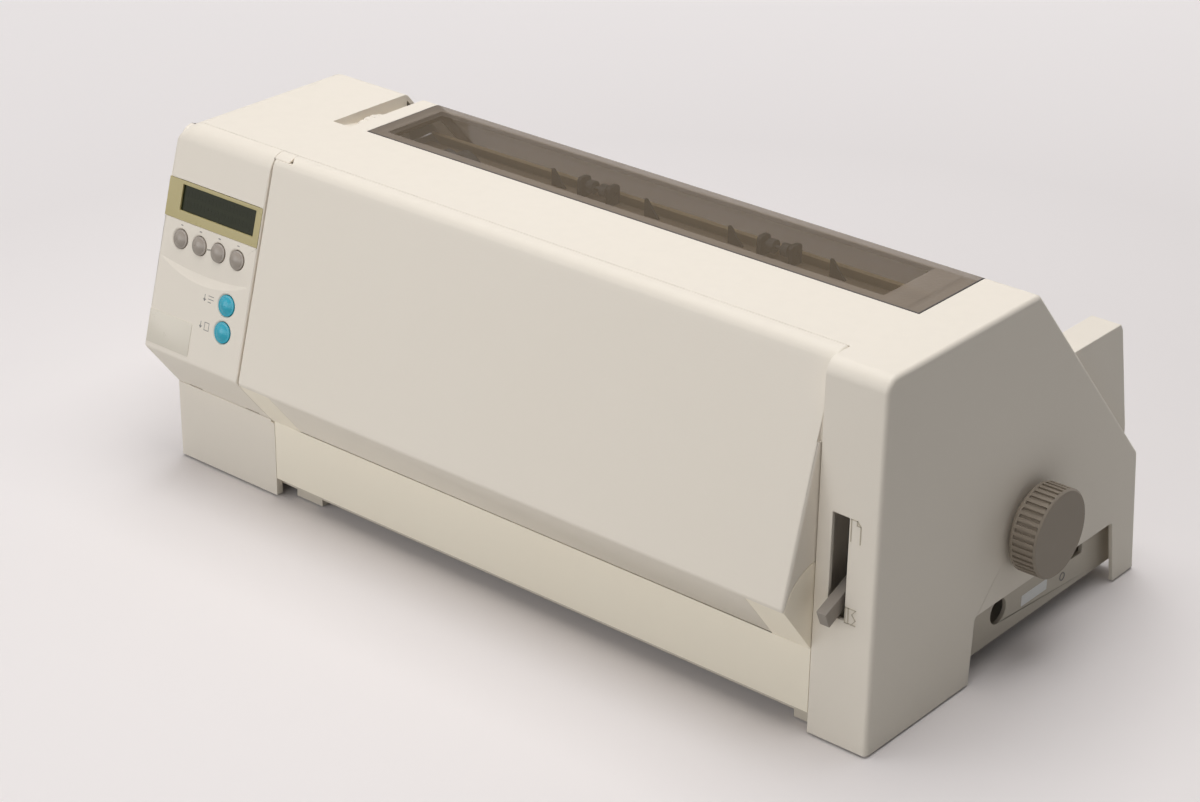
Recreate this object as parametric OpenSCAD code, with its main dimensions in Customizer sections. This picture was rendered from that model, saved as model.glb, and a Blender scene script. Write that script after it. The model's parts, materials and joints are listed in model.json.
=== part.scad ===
// Wide-carriage dot matrix printer: a moulded case around two side frames that carry the platen,
// the print carriage and a pair of paper tractors.
// The case's own coordinates run from the middle of its width (x), the front of the right pillar (y,
// growing to the rear) and the table (z). in_case() puts them in the part's frame.

/* [Case] */
// Width of the case without the platen knob
body_w = 600; // [560:5:660]
// Height of the top deck above the table
body_h = 251; // [245:1:262]
// Depth from the pillar's front to the rear toe
body_d = 311; // [305:1:330]
// Wall thickness of the case mouldings
case_wall = 3; // [2.5:0.1:3.4]
// Clearance between mouldings that meet without moving
seam = 0.3; // [0.2:0.05:0.4]
// Height of the rubber feet under the mouldings
foot_lift = 1.5; // [1:0.1:2.5]
// Depth of the flat top deck, to the edge where the rear slope starts
deck_d = 158; // [154:1:162]
// Depth and height at which the rear slope ends
slope_foot = [300, 92]; // [280:1:310]
// Radius of the round edge along the front of the deck
brow_r = 14; // [8:1:16]
// Radius of the edge along the ends of the case
end_r = 5; // [2:0.5:6]
// Height of the cut-outs in both end walls, over the base pan
notch_h = 49; // [40:1:56]
// Front and rear depth of those cut-outs at the table
notch_y = [110, 284]; // [90:1:290]
// Width of the right pillar beside the front cover
pillar_w = 43.5; // [40:0.5:50]

/* [Front face] */
// Angle by which the front face leans back
lean = 15.5; // [12:0.5:18]
// Distance of the face's top edge behind the pillar's front
face_setback = 12.4; // [9:0.1:16]
// Height of the chin, the front's lowest leaning point
chin_z = 98; // [92:1:104]
// Radius of the chin
chin_r = 3; // [1:0.5:5]
// Height at which the slope under the chin meets the lower panel
under_z = 60; // [56:1:64]
// Depth of the seam across the deck
seam_y = 23.5; // [22:0.5:30]
// Width of the control panel
panel_w = 94; // [90:1:110]
// Height of the lower front panel's bottom edge
apron_z = 15; // [10:1:20]
// Width of the lower cover under the control panel
corner_cover_w = 97.5; // [96:0.5:112]

/* [Front cover] */
// Depth and height of the front cover's hinge line
cover_hinge = [1, 89]; // [0:1:90]
// Radius of the fixed knuckles that the cover turns around
knuckle_r = 30; // [28:0.5:31]
// Width of each knuckle
knuckle_w = 29; // [20:1:40]
// Radius of the cover's hinge pins
cover_pin_r = 4; // [3:0.5:5]
// Running clearance of every pin, shaft and rod in its hole, on the radius
run_fit = 0.05; // [0.02:0.01:0.09]

/* [Window lid] */
// Left and right edge of the lid
lid_x = [-191.7, 260.2]; // [-195:0.1:262]
// Depth of the lid's front edge
lid_y = 87; // [80:1:95]
// Length of the lid's part that runs down the rear slope
lid_slope = 62; // [50:1:70]
// Thickness of the lid
lid_t = 3; // [2.5:0.1:3.5]
// Open slot for the paper behind the lid
exit_slot = 14; // [10:1:16]

/* [Platen] */
// Depth and height of the platen's axis
platen_axis = [167, 93]; // [90:1:170]
// Radius of the rubber roller
platen_r = 20; // [16:0.5:21]
// Radius of the platen shaft
platen_shaft_r = 5; // [4:0.5:6]
// Radius of the platen knob
knob_r = 29.8; // [24:0.1:32]
// How far the knob stands out of the case
knob_proud = 23; // [16:0.5:30]
// Number of grip flutes round the knob
knob_flutes = 40; // [24:1:48]

/* [Frames] */
// Inner faces of the left and right side frames
frame_x = [-198, 246]; // [-198:1:246]
// Thickness of the side frames
frame_t = 2; // [1.5:0.1:2.5]

/* [Gears] */
// Tooth size (module) of the feed gears
tooth = 1.25; // [1.2:0.05:1.3]
// Teeth of the platen gear, idler gear, tractor gear and motor pinion
platen_teeth = 40; // [38:1:42]
idler_teeth = 50; // [50:1:52]
tractor_teeth = 32; // [32:1:34]
pinion_teeth = 16; // [14:1:18]
// Width of the gears
gear_w = 6; // [4:0.5:8]

/* [Carriage] */
// Depth and height of the main and the support rod
main_rod = [118, 64]; // [60:1:120]
support_rod = [74, 70]; // [60:1:80]
// Radius of the main and the support rod
main_rod_r = 6; // [5:0.5:7]
support_rod_r = 5; // [4:0.5:5]
// Place of the carriage at rest
park_x = -149; // [-150:1:-140]
// Width of the carriage casting
carriage_w = 64; // [56:1:70]
// Width of the ribbon cartridge
cartridge_w = 92; // [80:1:94]
// Gap between the print head's nose and the roller
head_gap = 1.2; // [1:0.1:1.6]
// Depth and height of the belt pulleys, and their radius
pulley = [88, 31, 8]; // [7:1:90]
// Place of the left and right belt pulley
pulley_x = [-180, 222]; // [-182:1:224]

/* [Tractors] */
// Depth and height of the tractor drive shaft and of the support rod
tractor_axis = [273, 78]; // [70:1:280]
tractor_rod = [241, 78]; // [70:1:250]
// Radius of the tractor drive shaft and of the support rod
tractor_shaft_r = 4; // [3:0.5:5]
// Place of the left and right tractor at rest
tractor_x = [-146, 196]; // [-150:1:200]
// Width of a tractor
tractor_w = 22; // [18:1:24]

/* [Controls] */
// Width and height of the display opening
display_size = [72, 18]; // [17:1:74]
// Distance of the display bezel's top and bottom edge from the top of the face
bezel_s = [37, 64.5]; // [35:0.5:66]
// Radius of the small and the large buttons
menu_r = 6.6; // [5.5:0.1:7]
feed_r = 7.3; // [6:0.1:7.6]
// Pitch of the row of small buttons
menu_pitch = 18.6; // [17:0.1:19.5]
// Depth and height of the paper lever's pivot
lever_axis = [56, 122]; // [50:1:124]
// Depth and height of the thickness dial's axis, and its radius
dial = [112, 214.5, 35]; // [33:0.5:216]

/* [Hidden] */
$fn = 48;
eps = 0.01;
round_fn = 96;

// Case outline, seen from the right: depth, height
half_w = body_w / 2;
slope_dir = unit([slope_foot[0] - deck_d, slope_foot[1] - body_h]);
slope_out = [-slope_dir[1], slope_dir[0]];
notch_rake = 2;
side_radii = [0, brow_r, 6, 5];

// Front face: top corner, chin and the end of the slope under it
face_top = [face_setback, body_h];
chin = [face_setback - (body_h - chin_z) * tan(lean), chin_z];
under_end = [0, under_z];
face_outline = [[seam_y, body_h], face_top, chin, under_end, [seam_y, under_z]];
chin_reach = chin_r - arc_centre(face_top, chin, under_end, chin_r)[0];

// Widths along the front
panel_x = [-half_w, panel_w - half_w];
pillar_x = half_w - pillar_w;
cover_x = [panel_x[1] + 2 * seam, pillar_x - 2 * seam];
knuckle_x = [cover_x[0] + knuckle_w, cover_x[1] - knuckle_w];
corner_cover_x = corner_cover_w - half_w;

// Window lid
lid_hinge = [deck_d, body_h] + slope_dir * (lid_slope - 5) - slope_out * 6;
lid_gap = 0.4;

// Gear train: the idler sits where its pitch circle touches both neighbours
platen_pitch = tooth * platen_teeth / 2;
idler_pitch = tooth * idler_teeth / 2;
tractor_pitch = tooth * tractor_teeth / 2;
pinion_pitch = tooth * pinion_teeth / 2;
mesh_slack = 0.15;
idler_axis = apex(platen_axis, tractor_axis, platen_pitch + idler_pitch + mesh_slack,
    tractor_pitch + idler_pitch + mesh_slack);
pinion_axis = idler_axis - [0, idler_pitch + pinion_pitch + mesh_slack];
gear_x = frame_x[0] - frame_t - 4 - gear_w;

// --- Helpers ---------------------------------------------------------------------------------
function unit(v) = v / norm(v);
function heading(a, b) = atan2(b[1] - a[1], b[0] - a[0]);
function half_angle(a, b, c) = acos(unit(a - b) * unit(c - b)) / 2;
// Centre of an arc of radius r that touches both sides of corner b, which is also the corner
// that b moves to when both sides move inwards by r
function arc_centre(a, b, c, r) =
    b + unit(unit(a - b) + unit(c - b)) * r / sin(half_angle(a, b, c));
// Apex of the triangle on base a-b with sides p and q, on the upper side
function apex(a, b, p, q) =
    let (d = norm(b - a), along = (d * d + p * p - q * q) / (2 * d),
         up = sqrt(p * p - along * along), dir = unit(b - a))
    a + dir * along + [-dir[1], dir[0]] * up;

// Sharp corner b, without the arc of radius r that replaces it
module corner_waste(a, b, c, r) {
    tangent = r / tan(half_angle(a, b, c));
    middle = arc_centre(a, b, c, r);
    difference() {
        polygon([b + (b - middle) * 0.3, b + unit(a - b) * tangent, middle,
            b + unit(c - b) * tangent]);
        translate(middle) circle(r, $fn = round_fn);
    }
}

// Polygon whose outer corners are rounded, each by its own radius
module rounded_polygon(points, radii) {
    n = len(points);
    difference() {
        polygon(points);
        for (i = [0 : n - 1])
            if (radii[i] > 0)
                corner_waste(points[(i + n - 1) % n], points[i], points[(i + 1) % n], radii[i]);
    }
}

// Disc across the case with the outline radius disc_r, whose two rims are rounded by rim_r
module puck(at, disc_r, x, rim_r) {
    rims = [for (r = rim_r) min(r, disc_r)];
    translate([x[0], at[0], at[1]]) rotate([0, 90, 0]) rotate_extrude($fn = 48) polygon(concat(
        [[0, 0]],
        [for (a = [0 : 15 : 90]) [disc_r - rims[0] + rims[0] * sin(a), rims[0] - rims[0] * cos(a)]],
        [for (a = [90 : -15 : 0]) [disc_r - rims[1] + rims[1] * sin(a),
            x[1] - x[0] - rims[1] + rims[1] * cos(a)]],
        [[0, x[1] - x[0]]]));
}

// Case coordinates to the part's frame, whose origin is the middle of the footprint
module in_case() {
    translate([-knob_proud / 2, -(body_d - chin_reach) / 2, 0]) children();
}

// Extrudes a (depth, height) drawing across the case
module across(x) {
    translate([x[0], 0, 0]) rotate([90, 0, 90]) linear_extrude(x[1] - x[0]) children();
}

// Round bar across the case, at (depth, height)
module bar(at, r, x) {
    translate([x[0], at[0], at[1]]) rotate([0, 90, 0]) cylinder(r = r, h = x[1] - x[0]);
}

// Block between two opposite corners
module block(low, high) {
    translate(low) cube(high - low);
}

// Places things on the leaning face: x across, s down the face, z outwards
module on_face(x, s) {
    translate([x, face_setback - s * sin(lean), body_h - s * cos(lean)])
        rotate([90 - lean, 0, 0]) children();
}

// Spur gear with its bore, centred on the origin with a tooth at angle 0
module gear(teeth, width, bore) {
    pitch = tooth * teeth / 2;
    root = pitch - 1.2 * tooth;
    tip = pitch + 0.85 * tooth;
    step = 360 / teeth;
    difference() {
        linear_extrude(width) polygon([for (i = [0 : teeth - 1], p = [
            [-0.30, root], [-0.21, pitch], [-0.10, tip], [0.10, tip], [0.21, pitch], [0.30, root]])
            p[1] * [cos((i + p[0]) * step), sin((i + p[0]) * step)]]);
        translate([0, 0, -1]) cylinder(r = bore, h = width + 2);
    }
}

// Gear on a cross shaft at (depth, height), with the tooth at the given angle
module shaft_gear(at, teeth, bore, turn) {
    translate([gear_x, at[0], at[1]]) rotate([90, 0, 90]) rotate(turn) gear(teeth, gear_w, bore);
}

// Angle that puts a gap of a gear where a tooth of its neighbour points. The neighbour's tooth is
// at angle tooth_at, and lead is the direction from the neighbour to this gear.
function meshed(tooth_at, lead, neighbour_teeth, teeth) =
    lead + 180 - (tooth_at - lead) * neighbour_teeth / teeth + 180 / teeth;

// --- Case mouldings ----------------------------------------------------------------------------
pan_side = half_w - 11;
pan_front = 6;
pan_rear = slope_foot[0] + 1;
pan_floor = [9, 12];
pan_wall_top = 58;
pan_front_top = 50;
ledge_x = [[-half_w + 108, -half_w + 133], [half_w - 60, pillar_x - seam]];
side_hole = [158, 29, 9];
vent_pitch = 9;
vent_count = 12;

module base_pan() color("antiquewhite") in_case() difference() {
    union() {
        difference() {
            block([-pan_side, pan_front, pan_floor[0]], [pan_side, pan_rear, pan_wall_top]);
            block([-pan_side + case_wall, pan_front + case_wall, pan_floor[1]],
                [pan_side - case_wall, pan_rear - case_wall, pan_wall_top + 1]);
        }
        for (x = ledge_x, y = [[pan_front + 3, 34], [pan_rear - 34, pan_rear - 3]])
            block([x[0], y[0], foot_lift], [x[1], y[1], pan_floor[0] + eps]);
        // Standoffs for the main board and posts for the power supply
        for (x = [-160, 170], y = [152, 278])
            translate([x, y, pan_floor[1] - eps]) cylinder(r = 4, h = board_z - pan_floor[1] + eps);
    }
    block([-pan_side + case_wall, pan_front - 1, pan_front_top],
        [pan_side - case_wall, pan_front + case_wall + 1, pan_wall_top + 1]);
    // Round hole and cable window in the right wall, seen through the case's notch
    bar([side_hole[0], side_hole[1]], side_hole[2], [pan_side - case_wall - 1, pan_side + 1]);
    block([pan_side - case_wall - 1, 245, 30], [pan_side + 1, 258, 38]);
    // Openings for the inlet, switch and connector in the rear wall
    block([inlet_x - 14.2, pan_rear - case_wall - 1, 22], [inlet_x + 14.2, pan_rear + 1, 46]);
    block([switch_x - 10.7, pan_rear - case_wall - 1, 27], [switch_x + 10.7, pan_rear + 1, 41]);
    block([connector_x - 30.2, pan_rear - case_wall - 1, 24],
        [connector_x + 30.2, pan_rear + 1, 44]);
    // Cooling slots in the floor under the power supply
    for (i = [0 : vent_count - 1])
        block([supply_x[0] + 10, 110 + i * vent_pitch, pan_floor[0] - 1],
            [supply_x[1] - 10, 113.5 + i * vent_pitch, pan_floor[1] + 1]);
}

module rubber_feet() color("dimgray") in_case()
    for (x = ledge_x, y = [21, pan_rear - 18])
        translate([(x[0] + x[1]) / 2, y, 0]) difference() {
            cylinder(r = 7, h = foot_lift);
            translate([0, 0, -1]) cylinder(r = 3, h = 1.8);
        }

// Inside of the case moulding, open at the bottom
module side_cavity() {
    roof = arc_centre([0, body_h], [deck_d, body_h], slope_foot, case_wall);
    heel = arc_centre([deck_d, body_h], slope_foot, [body_d, foot_lift], case_wall);
    rounded_polygon([[case_wall, -5], [case_wall, body_h - case_wall], roof, heel,
        heel + unit([body_d, foot_lift] - slope_foot) * body_h], [0, brow_r - case_wall, 0, 0, 0]);
}

// Outer form of the case before it is hollowed, with soft edges all round both ends
wall_foot_z = -20;
heel_dir = unit([body_d, foot_lift] - slope_foot);
// Depth at which the line of the rear toe reaches the feet of the walls
heel_y = body_d + heel_dir[0] / heel_dir[1] * (wall_foot_z - foot_lift);
module case_form() difference() {
    hull() for (i = [0 : 2]) {
        corners = [[0, 0], [0, body_h], [deck_d, body_h], slope_foot, [body_d, foot_lift]];
        puck(arc_centre(corners[i], corners[i + 1], corners[i + 2], side_radii[i + 1]),
            side_radii[i + 1], [-half_w, half_w], [end_r, end_r]);
        // Feet of the walls run on below the table and are cut off level
        puck([end_r, wall_foot_z], end_r, [-half_w, half_w], [end_r, end_r]);
        puck([heel_y + end_r / heel_dir[1], wall_foot_z], end_r, [-half_w, half_w], [end_r, end_r]);
    }
    block([-half_w - 1, -1, -60], [half_w + 1, body_d + 9, foot_lift]);
}

deck_opening_y = lid_y - lid_gap;
opening_end = [deck_d, body_h] + slope_dir * (lid_slope + exit_slot);
cheek_t = 3;
cheek_drop = 11.5;
recess_x = [-half_w + 77.5, -half_w + 94];
recess_y = 85;
dial_x = [recess_x[0] + 8, recess_x[0] + 15];
slot_x = [half_w - 33.4, half_w - 21.2];
slot_z = [88, 156.5];

// Window opening, seen from the right: through the deck and down the slope
module window_cut() {
    polygon([[deck_opening_y, body_h - 12], [deck_opening_y, body_h + 9],
        [deck_d + 12, body_h + 9], opening_end + slope_out * 9, opening_end - slope_out * 9,
        [deck_d - 8, body_h - 12]]);
}

// Walls that hang down beside the lid and hold its hinge pins
module lid_cheek() {
    polygon([[deck_opening_y - 4, body_h - 1], [deck_d, body_h - 1],
        opening_end - slope_out * 1, opening_end - slope_out * cheek_drop,
        [deck_d - 8, body_h - cheek_drop], [deck_opening_y - 4, body_h - 9]]);
}

module upper_case() color("linen") in_case() difference() {
    union() {
        difference() {
            case_form();
            difference() {
                across([-half_w + case_wall, half_w - case_wall]) side_cavity();
                // Inner wall of the pillar, and the stiffening lip under the deck's front edge
                block([pillar_x, -1, 0], [pillar_x + case_wall, 28, body_h]);
                block([-half_w, seam_y, body_h - 12], [pillar_x + 1, seam_y + 2.5, body_h]);
            }
        }
        for (x = [[lid_x[0] - lid_gap - cheek_t, lid_x[0] - lid_gap],
                  [lid_x[1] + lid_gap, lid_x[1] + lid_gap + cheek_t]])
            across(x) lid_cheek();
        // Ledges under the lid's left, right and front edges
        block([lid_x[1] - 12, 96, body_h - lid_t - 3], [lid_x[1] + 1, 150, body_h - 1]);
        block([lid_x[0] - 1, 96, body_h - lid_t - 3], [lid_x[0] + 3, 150, body_h - 1]);
        block([lid_x[0] - 1, lid_y - 6, body_h - lid_t - 3], [lid_x[1] + 1, lid_y + 4, body_h - 1]);
        // Pocket of the thickness dial
        block([recess_x[0] - 2, recess_y - 2, body_h - 17],
            [recess_x[1] + 2, deck_d, body_h - 1]);
        // Rails that rest on the base pan's walls
        for (side = [0, 1]) mirror([side, 0, 0]) block([pan_side - 5, 40, pan_wall_top],
            [half_w - 1, slope_foot[0] - 12, pan_wall_top + case_wall]);
    }
    // Front bay between the control panel and the pillar, and the corner for the panel
    block([-half_w - 1, -1, -1], [pillar_x - eps, seam_y, body_h + 1]);
    window_x = [lid_x[0] - lid_gap, lid_x[1] + lid_gap];
    difference() {
        across(window_x) window_cut();
        block([window_x[0] - 1, lid_y - 8, body_h - lid_t - 4],
            [window_x[1] + 1, lid_y + 4, body_h - lid_t - 0.2]);
        for (x = [window_x[0] - 1, window_x[1] - 11.6])
            block([x, 96, body_h - lid_t - 4],
                [x + (x < 0 ? 4 : 12.6), 150, body_h - lid_t - 0.2]);
    }
    bar(lid_hinge, 2.5 + run_fit, [lid_x[0] - 6, lid_x[1] + 6]);
    // Recess of the dial, deeper towards the rear, and the slot that its wheel stands in
    across(recess_x) polygon([[recess_y, body_h - 4], [recess_y, body_h + 1],
        [deck_d + 30, body_h + 1], [deck_d + 30, body_h - 15], [deck_d - 12, body_h - 15],
        [deck_d - 40, body_h - 9]]);
    block([dial_x[0] - 1, recess_y - 10, body_h - 20], [dial_x[1] + 1, 144.5, body_h - case_wall]);
    // Slot of the paper lever in the pillar's front
    block([slot_x[0], -1, slot_z[0]], [slot_x[1], case_wall + 1, slot_z[1]]);
    // Hole for the platen shaft in the right end
    bar(platen_axis, platen_shaft_r + 3, [half_w - case_wall - 1, half_w + 1]);
    // Cut-outs over the base pan in both ends
    across([-half_w - 1, half_w + 1]) rounded_polygon([[notch_y[0], -1],
        [notch_y[0] + notch_rake, notch_h], [notch_y[1] - 9, notch_h], [notch_y[1], -1]],
        [0, 3, 3, 0]);
    // Paper entry, and the room for the base pan's rear wall and front right corner
    block([-half_w + 90, slope_foot[0] - 16, 64], [half_w - 60, body_d + 1, 84]);
    block([-pan_side - seam, pan_rear - 40, -1], [pan_side + seam, body_d + 1, pan_wall_top]);
    block([pillar_x - 1, pan_front - seam, -1], [pan_side + seam, 40, pan_wall_top + seam]);
}

// Shoulders that rise from the rear slope at both ends
post_w = 22;
post_inset = 6;
post_top = 191.5;
post_back = [[271, 191.5], [274, 186.8], [290, 113]];
module rear_posts() color("linen") in_case() for (side = [-1, 1])
    across(side > 0 ? [half_w - post_inset - post_w, half_w - post_inset]
                    : [-half_w + post_inset, -half_w + post_inset + post_w])
        rounded_polygon([slope_point(post_top), post_back[0], post_back[1], post_back[2],
            slope_point(post_back[2][1] - 11)], [0, 0, 0, 0, 0]);
function slope_point(z) = [deck_d, body_h] + slope_dir * (z - body_h) / slope_dir[1];

module front_left_cover() color("linen") in_case() {
    top = under_z - seam;
    inner_y = pan_front - seam;
    difference() {
        block([-half_w, 0, foot_lift], [corner_cover_x, seam_y - seam, top]);
        block([-half_w + case_wall, case_wall, -1],
            [corner_cover_x - case_wall, seam_y + 1, top - case_wall]);
        // Room for the base pan's front wall, its taller side wall and the hinge knuckle
        block([-pan_side - seam, inner_y, -1], [corner_cover_x + 1, seam_y + 1, pan_front_top + seam]);
        block([-pan_side - seam, inner_y, -1],
            [-pan_side + case_wall + seam, seam_y + 1, pan_wall_top + seam]);
        block([panel_x[1], -1, top - 2], [corner_cover_x + 1, seam_y + 1, top + 1]);
    }
}

// How far the cover's pins reach into the knuckles
pin_reach = 12;
// Knuckle seen from the right: a round hub with a flat slope under the chin
under_dist = under_depth();
function under_depth() =
    let (d = unit(under_end - chin), v = cover_hinge - chin) abs(v[0] * d[1] - v[1] * d[0]);
module below_chin() {
    d = unit(under_end - chin);
    out = [d[1], -d[0]];
    polygon([chin - d * 40, under_end + d * 40, under_end + d * 40 + out * 40,
        chin - d * 40 + out * 40]);
}
module knuckle_profile() difference() {
    union() {
        translate(cover_hinge) circle(knuckle_r, $fn = round_fn);
        translate([0, under_z - 1.5]) square([24, 18]);
    }
    below_chin();
}

module lower_front_panel() color("bisque") in_case() {
    x0 = corner_cover_x + seam;
    x1 = pillar_x - seam;
    block([x0, 0, apron_z], [x1, case_wall, under_z - 0.5]);
    block([x0, 0, apron_z], [x1, pan_front - seam, apron_z + case_wall]);
    for (x = [x0, x1 - case_wall]) block([x, 0, apron_z], [x + case_wall, pan_front - seam, pan_front_top]);
    // Trough behind the cover's swinging lip
    across([knuckle_x[0], knuckle_x[1]]) difference() {
        translate(cover_hinge) circle(knuckle_r + 5, $fn = round_fn);
        translate(cover_hinge) circle(knuckle_r + 2.2, $fn = round_fn);
        translate(cover_hinge - [60, 20]) square([120, 80]);
        translate(cover_hinge - [60, 60]) square([60, 80]);
    }
    block([knuckle_x[0], eps, under_z - 8], [knuckle_x[1], 12, under_z - 4.5]);
    difference() {
        for (x = [[cover_x[0] - 0.2, knuckle_x[0] - seam], [knuckle_x[1] + seam, cover_x[1] + 0.2]])
            across(x) knuckle_profile();
        for (x = [[knuckle_x[0] - pin_reach - 1, knuckle_x[0] + 1],
                  [knuckle_x[1] - 1, knuckle_x[1] + pin_reach + 1]])
            bar(cover_hinge, cover_pin_r + run_fit, x);
    }
}

// --- Front cover -------------------------------------------------------------------------------
cover_t = 2.6;
cover_edge_r = 2.2;
// Ribs and flanges start inside the wall, clear of the rounding of its ends
rib_root = (cover_edge_r + cover_t) / 2;
rib_depth = 15;
rib_inset = 60;
// The end flanges close the gap down to this depth
flange_y = 6;
corner_lip_x = -half_w + 107.3;
corner_y = 3;
corner_notch = 9;
lip_y = 6;
lip_t = 3;
// Highest arc round the hinge that swings clear of the lip
corner_swing = body_h - lip_t - cover_hinge[1] - seam;

// Everything behind the leaning face, inset by t
module face_cavity(t) {
    top_in = arc_centre([seam_y, body_h], face_top, chin, t);
    chin_in = arc_centre(face_top, chin, under_end, t);
    rounded_polygon([[seam_y + 1, body_h - t], top_in, chin_in,
        chin_in + unit(under_end - chin) * 60, [seam_y + 1, under_z - 30]],
        [0, max(brow_r - t, 0), 0, 0, 0]);
}
module face_profile() rounded_polygon(face_outline, [0, brow_r, chin_r, 0, 0]);

// Solid behind the leaning face between two ends, whose edges are rounded by rim_r
module face_form(x, rim_r) difference() {
    hull() {
        puck(arc_centre([seam_y, body_h], face_top, chin, brow_r), brow_r, x, rim_r);
        puck(arc_centre(face_top, chin, under_end, chin_r), chin_r, x, rim_r);
        puck([seam_y + 30, body_h - brow_r], brow_r, x, rim_r);
        puck(arc_centre(chin, under_end, [seam_y + 30, under_z], 1), 1, x, rim_r);
        puck([seam_y + 30, under_z + 1], 1, x, rim_r);
    }
    block([x[0] - 1, seam_y, 0], [x[1] + 1, seam_y + 90, body_h + 1]);
}

module rib_profile() difference() {
    face_cavity(rib_root);
    face_cavity(rib_depth);
    translate([-50, 0]) square([100, chin_z + 10]);
}
module flange_profile() difference() {
    face_cavity(rib_root);
    translate([flange_y, 0]) square([50, body_h]);
}

// Filling under the rounded top edge, from the middle of the wall inwards
module corner_floor() intersection() {
    translate(arc_centre([seam_y, body_h], face_top, chin, brow_r))
        circle(brow_r - cover_t / 2, $fn = round_fn);
    translate([corner_y, body_h - 9]) square([seam_y - seam - corner_y, 8]);
}

module front_cover() color("linen") in_case() difference() {
    union() {
        difference() {
            union() {
                difference() {
                    face_form(cover_x, [cover_edge_r, cover_edge_r]);
                    across([cover_x[0] - 1, cover_x[1] + 1]) face_cavity(cover_t);
                }
                for (x = [cover_x[0], cover_x[1] - cover_t]) across([x, x + cover_t]) flange_profile();
                for (x = [knuckle_x[0] + rib_inset, knuckle_x[1] - rib_inset])
                    across([x, x + cover_t]) rib_profile();
                // Floor of the corner under the control panel's lip
                across([cover_x[0] + cover_edge_r, corner_lip_x + corner_notch + 3]) corner_floor();
                // Lip along the top edge
                block([cover_x[0] + cover_edge_r, seam_y - 2.4, body_h - 10],
                    [cover_x[1] - cover_edge_r, seam_y - seam, body_h - 1]);
            }
            // Room round the fixed knuckles
            for (x = [[cover_x[0] - 1, knuckle_x[0]], [knuckle_x[1], cover_x[1] + 1]]) {
                bar(cover_hinge, knuckle_r + seam, x);
                block([x[0], -60, 0], [x[1], 60, chin_z - 4]);
            }
            block([knuckle_x[0] - 1, -5, under_z - 5], [knuckle_x[1] + 1, 60, under_z + 0.3]);
            block([cover_x[0] - 1, seam_y - seam, 0], [cover_x[1] + 1, 60, body_h + 1]);
        }
        // Hinge lugs and pins
        for (x = [[knuckle_x[0] + 0.3, knuckle_x[0] + 5], [knuckle_x[1] - 5, knuckle_x[1] - 0.3]])
            bar(cover_hinge, under_dist - 1, x);
        bar(cover_hinge, cover_pin_r, [knuckle_x[0] - pin_reach, knuckle_x[0] + 5]);
        bar(cover_hinge, cover_pin_r, [knuckle_x[1] - 5, knuckle_x[1] + pin_reach]);
    }
    // Corner that the control panel's lip fills, and the three-sided finger notch beside it
    difference() {
        union() {
            block([cover_x[0] - 1, lip_y - 2 * seam, body_h - 12], [corner_lip_x, 60, body_h + 1]);
            translate([0, 0, body_h - 6]) linear_extrude(8) polygon([[corner_lip_x - 1, seam_y + 1],
                [corner_lip_x - 1, lip_y - 1], [corner_lip_x + corner_notch, lip_y - 2]]);
        }
        bar(cover_hinge, corner_swing, [cover_x[0] - 2, corner_lip_x + corner_notch + 1]);
    }
    // Narrow finger groove down the right end
    translate([cover_x[1] - 1.4, 0, 0]) block([0, -6, 198], [3, 1, 239]);
}

// --- Window lid --------------------------------------------------------------------------------
module lid_profile(t) {
    bend = [deck_d, body_h];
    tip = bend + slope_dir * lid_slope;
    bend_in = arc_centre([lid_y, body_h], bend, slope_foot, t);
    rounded_polygon([[lid_y, body_h], bend, tip, tip - slope_out * t, bend_in,
        [lid_y, body_h - t]], [0, 6, 0, 0, 0, 0]);
}

module window_lid() color("dimgray", 0.6) in_case() {
    across(lid_x) lid_profile(lid_t);
    // Stiff rim along both ends, and the hinge lugs with their pins
    for (x = [[lid_x[0] + 4, lid_x[0] + 6], [lid_x[1] - 15, lid_x[1] - 13]])
        across(x) difference() {
            lid_profile(9);
            translate([0, body_h - 9.2]) square([96, 10]);
        }
    for (x = [[lid_x[0], lid_x[0] + 6], [lid_x[1] - 6, lid_x[1]]]) {
        bar(lid_hinge, 4.5, x);
        bar(lid_hinge, 2.5, [x[0] - (x[0] < 0 ? 3 : 0), x[1] + (x[0] < 0 ? 0 : 3)]);
    }
}

// --- Control panel ---------------------------------------------------------------------------
panel_t = 2.8;
menu_s = 77.3;
menu_x = [for (i = [0 : 3]) panel_x[0] + 20 + i * menu_pitch];
feed_s = [110, 129];
feed_x = panel_x[0] + 73;
bezel_t = 1.6;
bezel_x = [panel_x[0] + 1.2, panel_x[1] - 1.2];
display_x = panel_x[0] + 51;
display_s = 48.8;
button_clear = 0.3;
hook_x = [panel_x[0] + 12, panel_x[0] + 69.5];
hook_w = 14;
board_depth = 13;
mat_depth = 8;

lip_root = 0.5;
module panel_shell() {
    difference() {
        face_form([panel_x[0], panel_x[1] - seam], [end_r, 0.8]);
        across([panel_x[0] + panel_t, panel_x[1] - seam - panel_t]) face_cavity(panel_t);
        block([panel_x[0] - 1, seam_y - seam, 0], [panel_x[1] + 1, seam_y + 1, body_h + 1]);
    }
    // Lip that reaches over the deck beside the front cover; it starts on the rounded rim
    intersection() {
        across([panel_x[1] - seam - lip_root, corner_lip_x - seam]) face_profile();
        block([panel_x[1] - 2, lip_y, body_h - lip_t],
            [corner_lip_x + 5, seam_y - seam, body_h + 1]);
    }
}

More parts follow.
